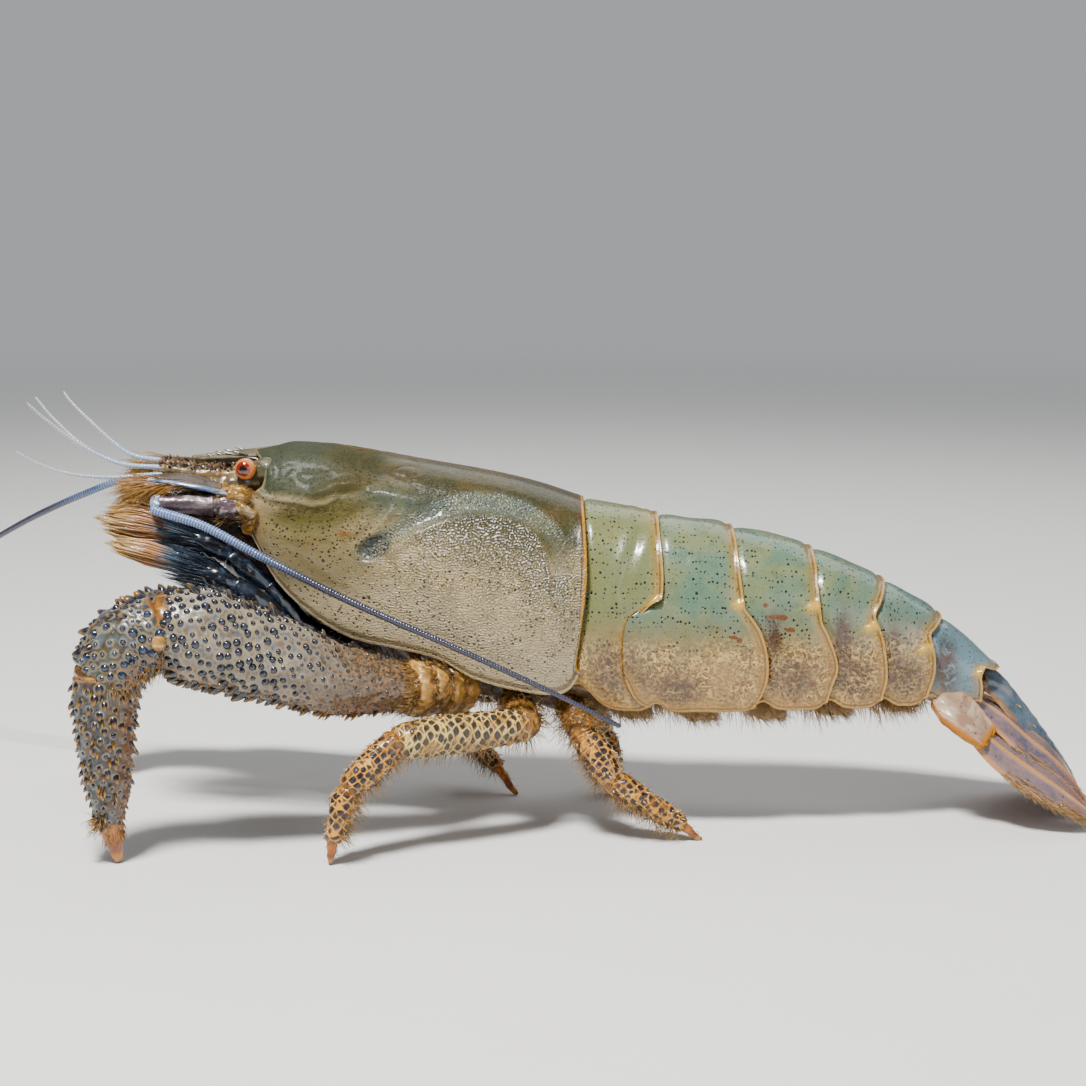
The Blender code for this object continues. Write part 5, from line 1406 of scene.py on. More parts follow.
head = {
    "eye": (-38.3, 5.2, 47.25), "eyeRadius": 1.4, "stalkRoot": (-36.9, 2.3, 47.0), "stalkRadius": 0.85,
    "rostrumBase": (-32.0, 49.6), "rostrumTip": (-45.6, 48.1), "rostrumHalfWidth": 2.7,
    "rostrumThickness": 1.5,
    "antennule": ((-39.7, 2.2, 45.9), (-44.8, 2.3, 46.2), (-49.6, 2.3, 46.8)),
    "antennuleRadii": (1.05, 0.95, 0.8),
    "antenna": {left: ((-39.4, 6.3, 42.6), (-43.6, 6.9, 42.8), (-49.8, 7.3, 43.0)),
                right: ((-39.4, 6.3, 43.0), (-43.6, 6.9, 43.6), (-49.8, 7.3, 44.6))},
    "antennaRadii": (1.3, 1.2, 0.95),
    "scaleBase": (-40.6, 6.0, 44.4), "scaleTip": (-50.6, 5.4, 46.0), "scaleLift": {left: 0.0, right: 1.2},
    "scaleHalfWidths": (1.2, 2.0, 2.2, 1.9, 1.0), "scaleHalfThickness": 0.3,
    "scaleHairs": 900,
    "socket": (((-37.2, 3.3, 46.9), 1.2, 1.3), ((-36.0, 3.6, 46.8), 1.7, 1.8),
               ((-34.6, 3.6, 46.6), 1.6, 1.7)),
    # x, y, z, length and how much each points up
    "rostrumSpines": ((-38.4, 1.7, 48.5, 2.3, 0.3), (-40.2, 1.15, 48.5, 1.9, 0.25),
                      (-41.8, 0.8, 48.4, 1.3, 0.3), (-43.2, 0.55, 48.2, 1.0, 0.35),
                      (-44.6, 0.3, 48.0, 0.9, 0.2), (-37.0, 3.0, 48.2, 1.6, 0.15),
                      (-42.6, 0.8, 47.6, 0.9, -0.5)),
    # the small parts between the antenna and the shell: finish, then places and radii
    "blocks": {
        "Block": ("amberCuticle", ((-37.6, 5.2, 43.4), 1.1), ((-39.2, 6.0, 43.9), 1.25),
                  ((-40.9, 6.4, 44.3), 0.9)),
        "Lobe": ("pearlCuticle", ((-37.2, 6.9, 41.5), 0.5), ((-38.2, 7.3, 42.1), 0.8),
                 ((-39.0, 7.3, 42.9), 0.6)),
        "Knuckle": ("antennaSkin", ((-38.6, 5.6, 41.9), 1.1), ((-40.0, 6.4, 42.3), 1.4),
                    ((-41.4, 6.8, 42.5), 1.3)),
        "Stay": ("headSkin", ((-36.8, 3.4, 45.3), 1.3), ((-39.6, 3.6, 45.2), 1.2),
                 ((-43.4, 3.4, 45.2), 0.5)),
        "Cheek": ("amberCuticle", ((-36.2, 5.2, 42.6), 1.0), ((-37.6, 5.6, 41.0), 1.2),
                  ((-38.0, 5.4, 39.2), 0.8))},
    "maxilliped": ((-32.3, 1.9, 27.6), (-36.8, 2.3, 33.6), (-41.2, 2.5, 37.4), (-45.2, 2.5, 39.6)),
    "maxillipedRadii": (1.15, 1.3, 1.15, 0.55),
}

feelers = {
    # points, and the radius at root and at tip; the rings stand ringPitch apart
    "antennule_upper_left": (((-50.1, -2.6, 47.1), (-55.1, -2.4, 47.6), (-60.1, -3.0, 50.2),
                              (-64.4, -4.0, 53.8), (-66.0, -4.6, 55.5)), 0.32, 0.12),
    "antennule_upper_right": (((-50.1, 2.6, 47.2), (-54.8, 2.8, 48.2), (-60.1, 3.6, 52.6),
                               (-62.5, 4.2, 54.9), (-63.4, 4.6, 56.0)), 0.32, 0.12),
    "antennule_lower_left": (((-50.1, -2.9, 46.2), (-56.0, -4.2, 46.0), (-61.2, -5.4, 46.7),
                              (-64.6, -6.2, 48.0), (-67.0, -6.8, 49.5)), 0.3, 0.12),
    "antennule_lower_right": (((-50.1, 2.9, 46.2), (-56.4, 4.6, 46.6), (-62.0, 6.4, 49.2),
                               (-66.0, 7.6, 52.6), (-68.0, 8.2, 54.9)), 0.3, 0.12),
    "antenna_flagellum_left": (((-49.2, -8.8, 42.3), (-43.1, -10.2, 40.6), (-35.6, -11.4, 36.8),
                                (-24.5, -12.3, 31.3), (-11.9, -12.8, 25.7), (0.9, -12.9, 19.7),
                                (9.7, -12.9, 15.2)), 0.58, 0.26),
    "antenna_flagellum_right": (((-50.3, 7.6, 44.7), (-55.2, 8.6, 44.4), (-62.6, 10.8, 41.6),
                                 (-70.6, 14.6, 37.8), (-80.0, 21.6, 32.4), (-88.6, 30.4, 27.6),
                                 (-94.6, 39.0, 25.0)), 0.5, 0.2),
}
ringPitch = 0.38


def eyeMaterial(name):
    # a salmon ball with a red-brown ring and a dark centre on the side that faces out
    material = newMaterial(name)
    fine = noise(objectSpace(), 2600, 4)
    uneven = calc("MULTIPLY_ADD", noise(objectSpace(), 1400, 4), 0.14, mark("out"))
    colour = layered(
        blend(fine, (212, 118, 70), (240, 166, 116)), (ease(uneven, 0.8, 1.1), (130, 84, 58)),
        (1.0 - ease(uneven, 0.5, 0.6), blend(fine, (96, 34, 20), (150, 62, 36))),
        (1.0 - ease(uneven, 0.24, 0.34), (30, 14, 10)))
    return dressed(material, colour, 0.12, 1.0, 0.04, 1.45, Normal=bump(fine, 0.02, 0.5))


def headMaterial(name, first, second, third, rough=0.3):
    material = newMaterial(name)
    place = objectSpace()
    streak = noise(stretched(place, (0.35, 1.6, 1.6)), 1100, 4)
    fine = noise(place, 2600, 3)
    colour = layered(blend(mottled(place, 420.0, 0.38, 0.62), first, second),
                     (ease(streak, 0.5, 0.66), third))
    return dressed(material, colour, ease(fine, 0.3, 0.7, rough - 0.08, rough + 0.1), 0.5, 0.1,
                   Normal=bump(streak * 0.8 + fine * 0.4, 0.12, 0.9))


def feelerMaterial(name, rootColours, farColours, turnAt):
    # ringed: pale raised hoops with darker grooves, changing colour along the length
    material = newMaterial(name)
    hoop, fine = mark("hoop"), noise(objectSpace(), 1800, 3)
    colour = layered(
        blend(hoop, *rootColours),
        (ease(mark("down"), turnAt - 0.12, turnAt + 0.12), blend(hoop, *farColours)),
        (fine * 0.12, (150, 130, 110)))
    return dressed(material, colour, ease(fine, 0.3, 0.7, 0.16, 0.3), 0.5)


def buildEyes():
    s = head
    for side, word, tail in sides:
        centre, root = onSide((s["eye"], s["stalkRoot"]), side)
        way = unit(np.array((-0.12, side * 1.0, 0.1)))
        stations = [(*(centre - way * s["eyeRadius"] * k), s["eyeRadius"], s["eyeRadius"])
                    for k in (0.04, 0.0, -0.04)]
        ball = tubeShape(stations, broad=(1, 0, 0), domes=(s["eyeRadius"] * 0.96,) * 2, capShare=0.46)
        surfacePiece("eye" + tail, ball, 64, 48, "eyeBall", "eye", ["eye_" + word], marks=lambda u, v, p: {
            "out": np.arccos(np.clip(unit(p - centre) @ way, -1, 1)) / (math.pi / 2)})
        # the shell's rounded socket behind the eye
        socket = [(*mirrored(place, side), *sizes) for place, *sizes in s["socket"]]
        limb("eyeSocket" + tail, socket, (0.5, 0.4), (48, 30), "rostrumShell",
             "carapace_shell", (), rippled(0.05, 1.4, 3))
        stalk = between(root, centre, [(t, s["stalkRadius"] * r) for t, r in (
            (-0.3, 1.0), (0.2, 0.95), (0.5, 1.05), (0.72, 1.35))])
        limbPiece("eyestalk" + tail, tubeShape(stalk, broad=(1, 0, 0), domes=(0.3, 0.3)), (40, 24),
                  "headSkin", "head_cuticle", ["eyestalk_" + word], rippled(0.04, 0.9, 2))


def buildRostrum():
    s = head
    (baseX, baseZ), (tipX, tipZ) = s["rostrumBase"], s["rostrumTip"]
    stations = []
    for t in (0.0, 0.25, 0.5, 0.75, 0.92, 1.0):
        thick = s["rostrumThickness"] * (1 - 0.55 * t)
        half = s["rostrumHalfWidth"] * (1 - t) ** 0.8 + 0.3
        stations.append((baseX + (tipX - baseX) * t, 0.0, baseZ + (tipZ - baseZ) * t - thick * 0.45, half,
                         thick / 2))

    def relief(u, v, places):
        # a keel on top, two grooves beside it and the raised side rims
        y = np.abs(places[:, 1])
        half = np.interp(-places[:, 0], (-baseX, -tipX), (s["rostrumHalfWidth"] + 0.3, 0.3))
        return 0.28 * hump(y, 0.22) - 0.1 * hump(y - half * 0.45, 0.3) + 0.12 * hump(y - half * 0.85, 0.2)
    limb("rostrum", stations, (0.0, 0.4), (64, 70), "rostrumShell", "carapace_shell", (), relief)
    x, y, z, length, lift = np.repeat(s["rostrumSpines"], 2, axis=0).T
    roots = np.stack([x, y * np.tile((left, right), len(s["rostrumSpines"])), z], -1)
    tips = roots + np.stack([-length, 0 * x, length * lift], -1)
    spineTubes("rostrumSpines", roots, (roots + tips) / 2 + np.array((0, 0, 0.1)), tips, 0.2, 1.1,
               "darkSpines", "carapace_shell")


def looseHairs(name, seed, count, box, ways, lengths, radius, finish, side, curl, hairSeed):
    # hairs rooted anywhere in a box; ways gives their direction and how much it varies
    own = lots(seed + side)
    (x0, x1), (y0, y1), (z0, z1) = box
    roots = np.stack([own.uniform(x0, x1, count), side * own.uniform(y0, y1, count),
                      own.uniform(z0, z1, count)], -1)
    aim = np.stack([-np.ones(count), ways[0][0] * side + ways[0][1] * own.normal(size=count),
                    ways[1][0] + ways[1][1] * own.normal(size=count)], -1)
    hairs(name, roots, aim, own.uniform(*lengths, count), radius, finish, "head_cuticle", curl,
          rootPlace=own.random((count, 2)), seed=hairSeed + side)


def segmented(name, shape, grid, finish, node, joints, seed):
    # a jointed stalk: narrow grooves at the joints, rounded lips beside them
    def relief(u, v, places):
        height = 0.07 * ripples(places, 1.4, seed)
        for at in joints:
            height = height - 0.22 * hump(v - at, 0.012) + 0.12 * hump(v - at - 0.03, 0.02)
        return height
    limbPiece(name, shape, grid, finish, "head_cuticle", [node], relief)


def buildAntennule(side, word, tail):
    # the antennule's stalk, with rows of dark bristles on top
    s = head
    points = onSide(s["antennule"], side)
    stations = [(*lerp(points[0], points[1], -0.35), 1.0, 1.0)] + [
        (*p, r * 0.96, r * 0.96) for p, r in zip(points, s["antennuleRadii"])]
    shape = tubeShape(stations, domes=(0.3, 0.4))
    segmented("antennuleStalk" + tail, shape, (56, 90), "antennuleSkin", "antennule_peduncle_" + word,
              (0.36, 0.62, 0.84), 3)
    spinesOn("antennuleThorns" + tail, shape, 60, (0.1, 0.42), (0.2, 0.98), 0.13, 0.95, "darkSpines",
             "head_cuticle", seed=211 + side, ahead=0.6)
    hairsOn("antennuleBristles" + tail, shape, 260, (0.1, 0.4), (0.3, 0.99), 1.0, 0.05, "darkHair",
            "head_cuticle", ahead=0.8, stand=0.9, curl=0.08, seed=31 + side)
    hairsOn("antennuleFringe" + tail, shape, 200, (0.55, 0.98), (0.2, 0.99), 1.1, 0.04, "warmHair",
            "head_cuticle", ahead=0.9, stand=0.6, curl=0.12, seed=33 + side)


def buildAntenna(side, word, tail):
    # the antenna's stalk and the blocks that carry it
    s = head
    points = onSide(s["antenna"][side], side)
    stations = [(*p, r * 0.9, r * 1.06) for p, r in zip(points, s["antennaRadii"])]
    stations[2:2] = between(points[1], points[2], ((0.6, 0.95, 1.12),))
    segmented("antennaStalk" + tail, tubeShape(stations, domes=(0.5, 0.25)), (64, 96), "antennaSkin",
              "antenna_peduncle_" + word, (0.3, 0.9), 5)
    collar = between(points[1], points[2], ((0.9, 1.0, 1.05), (1.0, 1.02, 1.08), (1.06, 0.75, 0.8)))
    limb("antennaCollar" + tail, collar, (0.1, 0.2), (64, 24), "whiteCuticle", "head_cuticle", (),
         lambda u, v, p: 0.2 * np.sin(tau * u * 4 + 1.3) * (1 - v))
    for label, (finish, *stations) in s["blocks"].items():
        shape = tubeShape([(*mirrored(p, side), r, r) for p, r in stations], (0, 1, 0.2), (0.6, 0.6))
        limbPiece("antenna" + label + tail, shape, (48, 36), finish, "head_cuticle", (),
                  rippled(0.16, 1.3, 7))
    looseHairs("antennaRootHair" + tail, 230, 260, ((-41.5, -37.0), (5.8, 7.4), (40.5, 45.4)),
               ((0.35, 0.3), (0.0, 0.4)), (0.7, 1.8), 0.045, "warmHair", side, 0.25, 231)


def buildAntennaScale(side, word, tail):
    # the blade over the antenna: outer rib, thin leaf and a fringe round its end
    s = head
    lift = np.array((0.0, 0.0, s["scaleLift"][side]))
    base, tip = onSide((s["scaleBase"], s["scaleTip"]), side)
    base, tip = base + lift * 0.5, tip + lift
    out = unit(np.array((0.0, side * 1.0, -0.25)))
    stations, rib = [], []
    for i, half in enumerate(s["scaleHalfWidths"]):
        t = i / 4
        centre = lerp(base, tip, t) + np.array((0, 0, 2.4 * t * (1 - t)))
        stations.append((*centre, half * 0.95, s["scaleHalfThickness"] * (1 - 0.35 * t) * 0.8))
        rib.append((*(centre + out * half * 0.82 + np.array((0, 0, 0.1))),
                    *(2 * [0.33 * (1 - 0.4 * t)])))
    limbPiece("antennaScale" + tail, tubeShape(stations, (0, side, -0.25), (0.2, 0.5)), (72, 80),
              "scaleBlade", "scale_blade", ["antenna_scale_" + word],
              lambda u, v, p: 0.05 * np.sin(p[:, 1] * 9 + 2 * ripples(p, 5, 2)))
    limb("scaleRib" + tail, rib, (0.2, 0.3), (28, 90), "scaleRib",
         "scale_blade", (), lambda u, v, p: 0.06 * hump(np.abs(np.sin(math.pi * u * 3)), 0.4))
    own = lots(44 + side)
    count = s["scaleHairs"]
    t = own.random(count) ** 0.55
    cross = own.uniform(-1, 1, count)
    at = 0.45 + 0.53 * t
    half = np.interp(at, np.linspace(0, 1, 5), s["scaleHalfWidths"])
    roots = base + (tip - base) * at[:, None] + np.stack([
        0 * t, cross * half * 0.8, 2.0 * at * (0.55 - 0.53 * t) - 0.25 * cross * side], -1)
    ways = np.stack([-1.0 + 0 * t, -0.1 * side + cross * 0.22, -0.36 + 0.2 * own.normal(size=count)],
                    -1)
    hairs("scaleFringe" + tail, roots, ways, (3.0 + 3.4 * t) * own.uniform(0.7, 1.1, count), 0.06,
          "scaleHair", "scale_blade", 0.07, 0.08, np.stack([0.5 + cross / 2, t], -1), 50 + side)


def buildMouth(side, word, tail):
    # dark hair between the mouth and the antennae
    looseHairs("mouthHair" + tail, 200, 620, ((-43.5, -38.5), (0.6, 6.0), (38.5, 44.8)),
               ((0.0, 0.1), (0.05, 0.12)), (3.0, 8.5), 0.06, "darkHair", side, 0.07, 201)
    # the long mouth leg under the head
    line = zip(onSide(head["maxilliped"], side), head["maxillipedRadii"])
    shape = tubeShape([(*p, r, r) for p, r in line], domes=(0.4, 0.5))
    segmented("maxilliped" + tail, shape, (40, 70), "mouthParts", "maxilliped_" + word, (0.35, 0.66), 9)
    hairsOn("maxillipedHair" + tail, shape, 520, (0, 1), (0.2, 1.0), 1.7, 0.045, "warmHair", "head_cuticle",
            ahead=0.9, stand=0.6, curl=0.15, seed=61 + side)


def buildHead():
    for each in sides:
        buildAntennule(*each)
        buildAntenna(*each)
        buildAntennaScale(*each)
        buildMouth(*each)


def buildFeelers():
    for node, (points, rootRadius, tipRadius) in feelers.items():
        points = np.array(points, float)
        steps = np.concatenate([[0], np.cumsum(np.linalg.norm(np.diff(points, axis=0), axis=1))])
        length = steps[-1]
        big = node.startswith("antenna_")
        stations = [(*p, *(2 * [rootRadius + (tipRadius - rootRadius) * at / length]))
                    for p, at in zip(points, steps)]
        # straighten the roots into the stalk behind them
        stations.insert(0, (*(points[0] + unit(points[0] - points[1]) * 0.6), rootRadius, rootRadius))
        rings = int(length / ringPitch)

        def hoops(v):
            return 0.5 + 0.5 * np.cos(tau * v * rings)
        first, *others = node.split("_")
        limbPiece(first + "".join(word.capitalize() for word in others),
                  tubeShape(stations, domes=(0.2, 0.25), capShare=0.01), (14 if big else 10, rings * 4),
                  "antennaFeeler" if big else "antennuleFeeler", "feeler", [node],
                  lambda u, v, p: 0.07 * hoops(v), lambda u, v, p: {"down": v, "hoop": hoops(v)})


# the underside: chest, swimmerets

underside = {
    "x": (-31.0, 4.2), "halfWidths": (2.6, 4.6),
    "depth": ((-31.0, 1.6), (-22.0, 3.4), (-10.0, 4.0), (4.2, 3.0)),
    "swimmeretX": (9.4, 18.0, 27.0, 35.6, 44.0), "swimmeretSize": (3.3, 3.6, 3.4, 3.0, 2.4),
    "fringeHairs": 2100,
}


def buildUnderside():
    s = underside
    depth, margin = curveThrough(s["depth"]), curveThrough(carapace["margin"])
    (x0, x1), (narrow, broad) = s["x"], s["halfWidths"]
    stations = []
    for x in np.linspace(-33.5, 6.0, 14):
        half = narrow + (broad - narrow) * np.clip((x - x0) / (x1 - x0), 0, 1)
        top = float(margin(x)) + 5.0
        bottom = float(margin(x)) - 0.45 - float(depth(x))
        stations.append((x, 0.0, (top + bottom) / 2, half + 1.6, (top - bottom) / 2))
    chest = tubeShape(stations, domes=(1.5, 1.0))
    # with a hollow between each pair of legs
    limbPiece("chest", chest, (64, 100), "chestSkin", "underside", ["sternum"], lambda u, v, p: (
        0.5 * np.sin(p[:, 0] * tau / 6.6) * 0.6 + 0.25 * ripples(p, 2.5, 8)))
    hairsOn("chestHair", chest, 1200, (0.5, 1.0), (0.25, 0.98), 1.9, 0.05, "warmHair", "underside",
            ahead=0.2, stand=0.7, curl=0.3, sag=0.3, seed=70)
    # soft inner skin, seen only down the gaps between the rings; its front end widens to fill the shell
    lowZ = abdomen["marginZ"] + 1.2
    halfWidth = curveThrough(abdomen["halfWidth"])
    top, width = (float(curveThrough(carapace[key])(-6.0)) - less
                  for key, less in (("back", 1.0), ("halfWidth", 1.2)))
    stations = [(x, 0.0, (top + lowZ) / 2, width * share, (top - lowZ) / 2 * share)
                for x, share in ((-8.0, 0.97), (-5.5, 1.0), (-3.5, 0.97))]
    for x in np.linspace(-1.0, 56.0, 14):
        top = float(abdomenBack(max(x, 3.0)))
        stations.append((x, 0.0, (top + lowZ) / 2 - 0.9, float(halfWidth(max(x, 3.0))) - 1.9,
                         (top - lowZ) / 2 - 1.2))
    limb("ringLining", stations, (1.5, 0.8), (48, 60), "chestSkin", "underside", (),
         rippled(0.1, 3.0, 31))
    # belly skin between the side plates, closing the rings from below
    stations = [(x, 0.0, lowZ + 1.6 - 0.06 * max(x - 45, 0), float(halfWidth(x)) * 0.82, 2.6 - 0.024 * x)
                for x in np.linspace(3.0, 57.8, 12)]
    limb("belly", stations, (1.0, 1.0), (48, 100), "bellySkin", "underside", (),
         lambda u, v, p: 0.35 * np.sin(p[:, 0] * tau / 4.4) + 0.15 * ripples(p, 2.0, 9))
    for side, word, tail in sides:
        own = lots(120 + side)
        count = s["fringeHairs"]
        x = own.uniform(6.5, 50.0, count)
        wave = 0.5 + 0.5 * np.sin(x * tau / 8.7 + 1.0)
        roots = np.stack([x, side * halfWidth(x) * own.uniform(0.35, 0.74, count),
                          lowZ + own.uniform(-0.6, 0.8, count)], -1)
        ways = np.stack([0.35 + 0.3 * own.normal(size=count), 0.22 * side + 0.2 * own.normal(size=count),
                         -np.ones(count)], -1)
        hairs("bellyFringe" + tail, roots, ways, (3.1 + 1.6 * wave) * own.uniform(0.6, 1.1, count), 0.045,
              "bellyHair", "swimmeret", 0.12, rootPlace=np.stack([x / 60, own.random(count)], -1), seed=121)
        for k, (x, size) in enumerate(zip(s["swimmeretX"], s["swimmeretSize"])):
            for part, shift, broadness in (("a", 0.0, 1.0), ("b", 1.6, 0.7)):
                root = np.array((x + shift, float(halfWidth(x)) * 0.45 * side, lowZ + 0.8))
                end = root + np.array((2.6, 0.9 * side, -size - 0.2))
                leaf = between(root, end, [(t, r * size * broadness, 0.4) for t, r in (
                    (0.0, 0.4), (0.3, 0.66), (0.65, 0.7), (1.0, 0.4))])
                leaf = tubeShape(leaf, (0.75, 0.5 * side, 0.25), (0.2, 0.5))
                name = "swimmeret" + str(k + 1) + part + tail
                limbPiece(name, leaf, (36, 36), "swimmeretSkin", "swimmeret",
                          ["swimmerets_" + word] if k == 0 and part == "a" else (), rippled(0.05, 0.9, 4))
                hairsOn(name + "Fringe", leaf, 210, (0, 1), (0.35, 1.0), 1.9, 0.035, "fringeHair",
                        "swimmeret", ahead=1.2, stand=0.35, curl=0.16, seed=80 + k + side)


# the tail fan

tailFan = {
    # middle line, half widths along it, thickness, how far the side edges drop
    "telson": (((57.8, 0.0, 20.7), (61.0, 0.0, 18.5), (63.6, 0.0, 15.5), (68.2, 0.0, 9.5), (70.9, 0.0, 5.5),
                (72.6, 0.0, 1.7)),
               (2.6, 3.4, 3.8, 3.1, 2.4, 1.5), 0.5, 2.6),
    "endopod": (((57.0, 3.9, 16.4), (60.4, 4.4, 14.1), (63.6, 4.8, 11.3), (66.6, 5.1, 8.9),
                 (69.4, 5.3, 6.1), (71.9, 5.4, 2.3)),
                (1.3, 2.3, 2.8, 2.8, 2.4, 1.2), 0.36, 0.6),
    "exopod": (((56.0, 6.7, 13.8), (58.9, 7.5, 11.2), (61.9, 8.2, 9.0), (65.2, 8.8, 6.8), (68.4, 9.2, 4.6),
                (71.2, 9.4, 2.5)),
               (1.8, 2.6, 3.0, 2.9, 2.4, 1.3), 0.36, 0.6),
    # the block that carries the blades: places, half widths and half heights
    "stem": (((52.2, 5.5, 16.9), 1.7, 1.0), ((54.0, 6.5, 15.6), 2.8, 1.1), ((56.0, 7.2, 13.9), 2.9, 0.9),
             ((57.8, 7.6, 12.3), 2.4, 0.6)),
}


def fanBlade(line, halfWidths, thick, arch, broad, side):
    stations = [(*mirrored(place, side), half, thick * (1 - 0.07 * i))
                for i, (place, half) in enumerate(zip(line, halfWidths))]
    return tubeShape(stations, mirrored(broad, side), (0.4, 0.6), 0.04, arch)


def rimmed(u, width):
    # 1 along a blade's two side edges
    return hump(np.abs(np.cos(tau * u)) - 1, width)


def telsonRelief(u, v, places):
    y = np.abs(places[:, 1])
    return (0.2 * hump(y - 2.3 + 1.2 * v, 0.3) - 0.18 * hump(y, 0.7) * easeStep(v, 0.1, 0.3)
            + 0.05 * ripples(places, 1.5, 3))


def bladeRelief(u, v, places):
    # a midrib and a thick outer rim
    over = np.cos(tau * u)
    return 0.22 * hump(over - 0.05, 0.1) + 0.16 * hump(over - 0.92, 0.1) - 0.1 * hump(over + 0.45, 0.3)


def buildTailFan():
    s = tailFan
    slot = "tail_shell"
    telson = fanBlade(*s["telson"], (0, 1, 0), right)
    limbPiece("telson", telson, (72, 80), "telsonShell", slot, ["telson"], telsonRelief,
              lambda u, v, p: {"edge": rimmed(u, 0.08), "down": v})
    hairsOn("telsonFringe", telson, 260, (0.0, 1.0), (0.9, 1.0), 2.0, 0.05, "fringeHair", slot,
            ahead=1.6, stand=0.3, curl=0.07, seed=91)
    t = np.repeat((0.32, 0.45, 0.58, 0.7, 0.8, 0.88), 2)
    u = 0.25 - 0.11 * np.tile((-1, 1), 6)
    places, normals = frameOn(telson, u, t)
    tips = places + unit(normals * 0.4 + unit(telson(u, t + 0.03) - places)) * 0.8
    spineTubes("telsonSpines", places - normals * 0.1, (places + tips) / 2 + normals * 0.1, tips, 0.14, 1.2,
               "paleSpines", slot)
    for side, word, tail in sides:
        for label, broad in (("exopod", (0.3, 1.0, -1.1)), ("endopod", (0.25, 1.0, -1.0))):
            blade = fanBlade(*s[label], broad, side)
            limbPiece(label + tail, blade, (72, 80), "tailBlades", slot, ["uropod_" + label + "_" + word],
                      bladeRelief,
                      lambda u, v, p: {"down": v, "edge": np.clip(
                          rimmed(u, 0.16) + hump(np.cos(tau * u) - 0.05, 0.11), 0, 1)})
            hairsOn(label + "Fringe" + tail, blade, 420, (0.36, 0.64), (0.35, 1.0), 1.7, 0.045,
                    "fringeHair", slot, ahead=1.5, stand=0.6, curl=0.06, seed=95 + side)
            hairsOn(label + "EndFringe" + tail, blade, 320, (0.0, 1.0), (0.93, 1.0), 2.0, 0.05,
                    "fringeHair", slot, ahead=1.8, stand=0.3, curl=0.06, seed=98 + side)
        # the block that carries both blades
        stem = tubeShape([(*mirrored(place, side), *sizes) for place, *sizes in s["stem"]],
                         (0.4, side, -1.2), (0.6, 0.5))
        limbPiece("fanStem" + tail, stem, (72, 56), "tailBlock", slot, (), lambda u, v, p: (
            0.06 * ripples(p, 2.2, 4) + 0.3 * hump(np.abs(np.cos(tau * u)) - 0.86, 0.08)),
            lambda u, v, p: {"edge": np.maximum(rimmed(u, 0.16), easeStep(v, 0.84, 0.95)), "down": 0.1 * v})


def fanMaterial(name, first, second, edgeColour, gloss=0.5):
    material = newMaterial(name)
    place = objectSpace()
    streak = noise(stretched(place, (0.6, 2.4, 0.6), (0, 0.72, 0)), 900, 4)
    fine = noise(place, 2600, 3)
    colour = layered(
        blend(mottled(place, 300.0, 0.38, 0.62), first, second),
        (ease(streak, 0.5, 0.66) * 0.3, (176, 150, 136)),
        (ease(mark("down"), 0.6, 1.0, 0.0, 0.6), (150, 96, 72)),
        (dotted(place, 1300.0, 0.24, 0.4) * 0.6, (70, 56, 48)),
        (mark("edge"), edgeColour))
    return dressed(material, colour, ease(fine, 0.3, 0.7, 0.2, 0.36), gloss, 0.1, Specular_IOR_Level=gloss,
                   Normal=bump(streak * 0.8 + fine * 0.3, 0.1, 0.8))


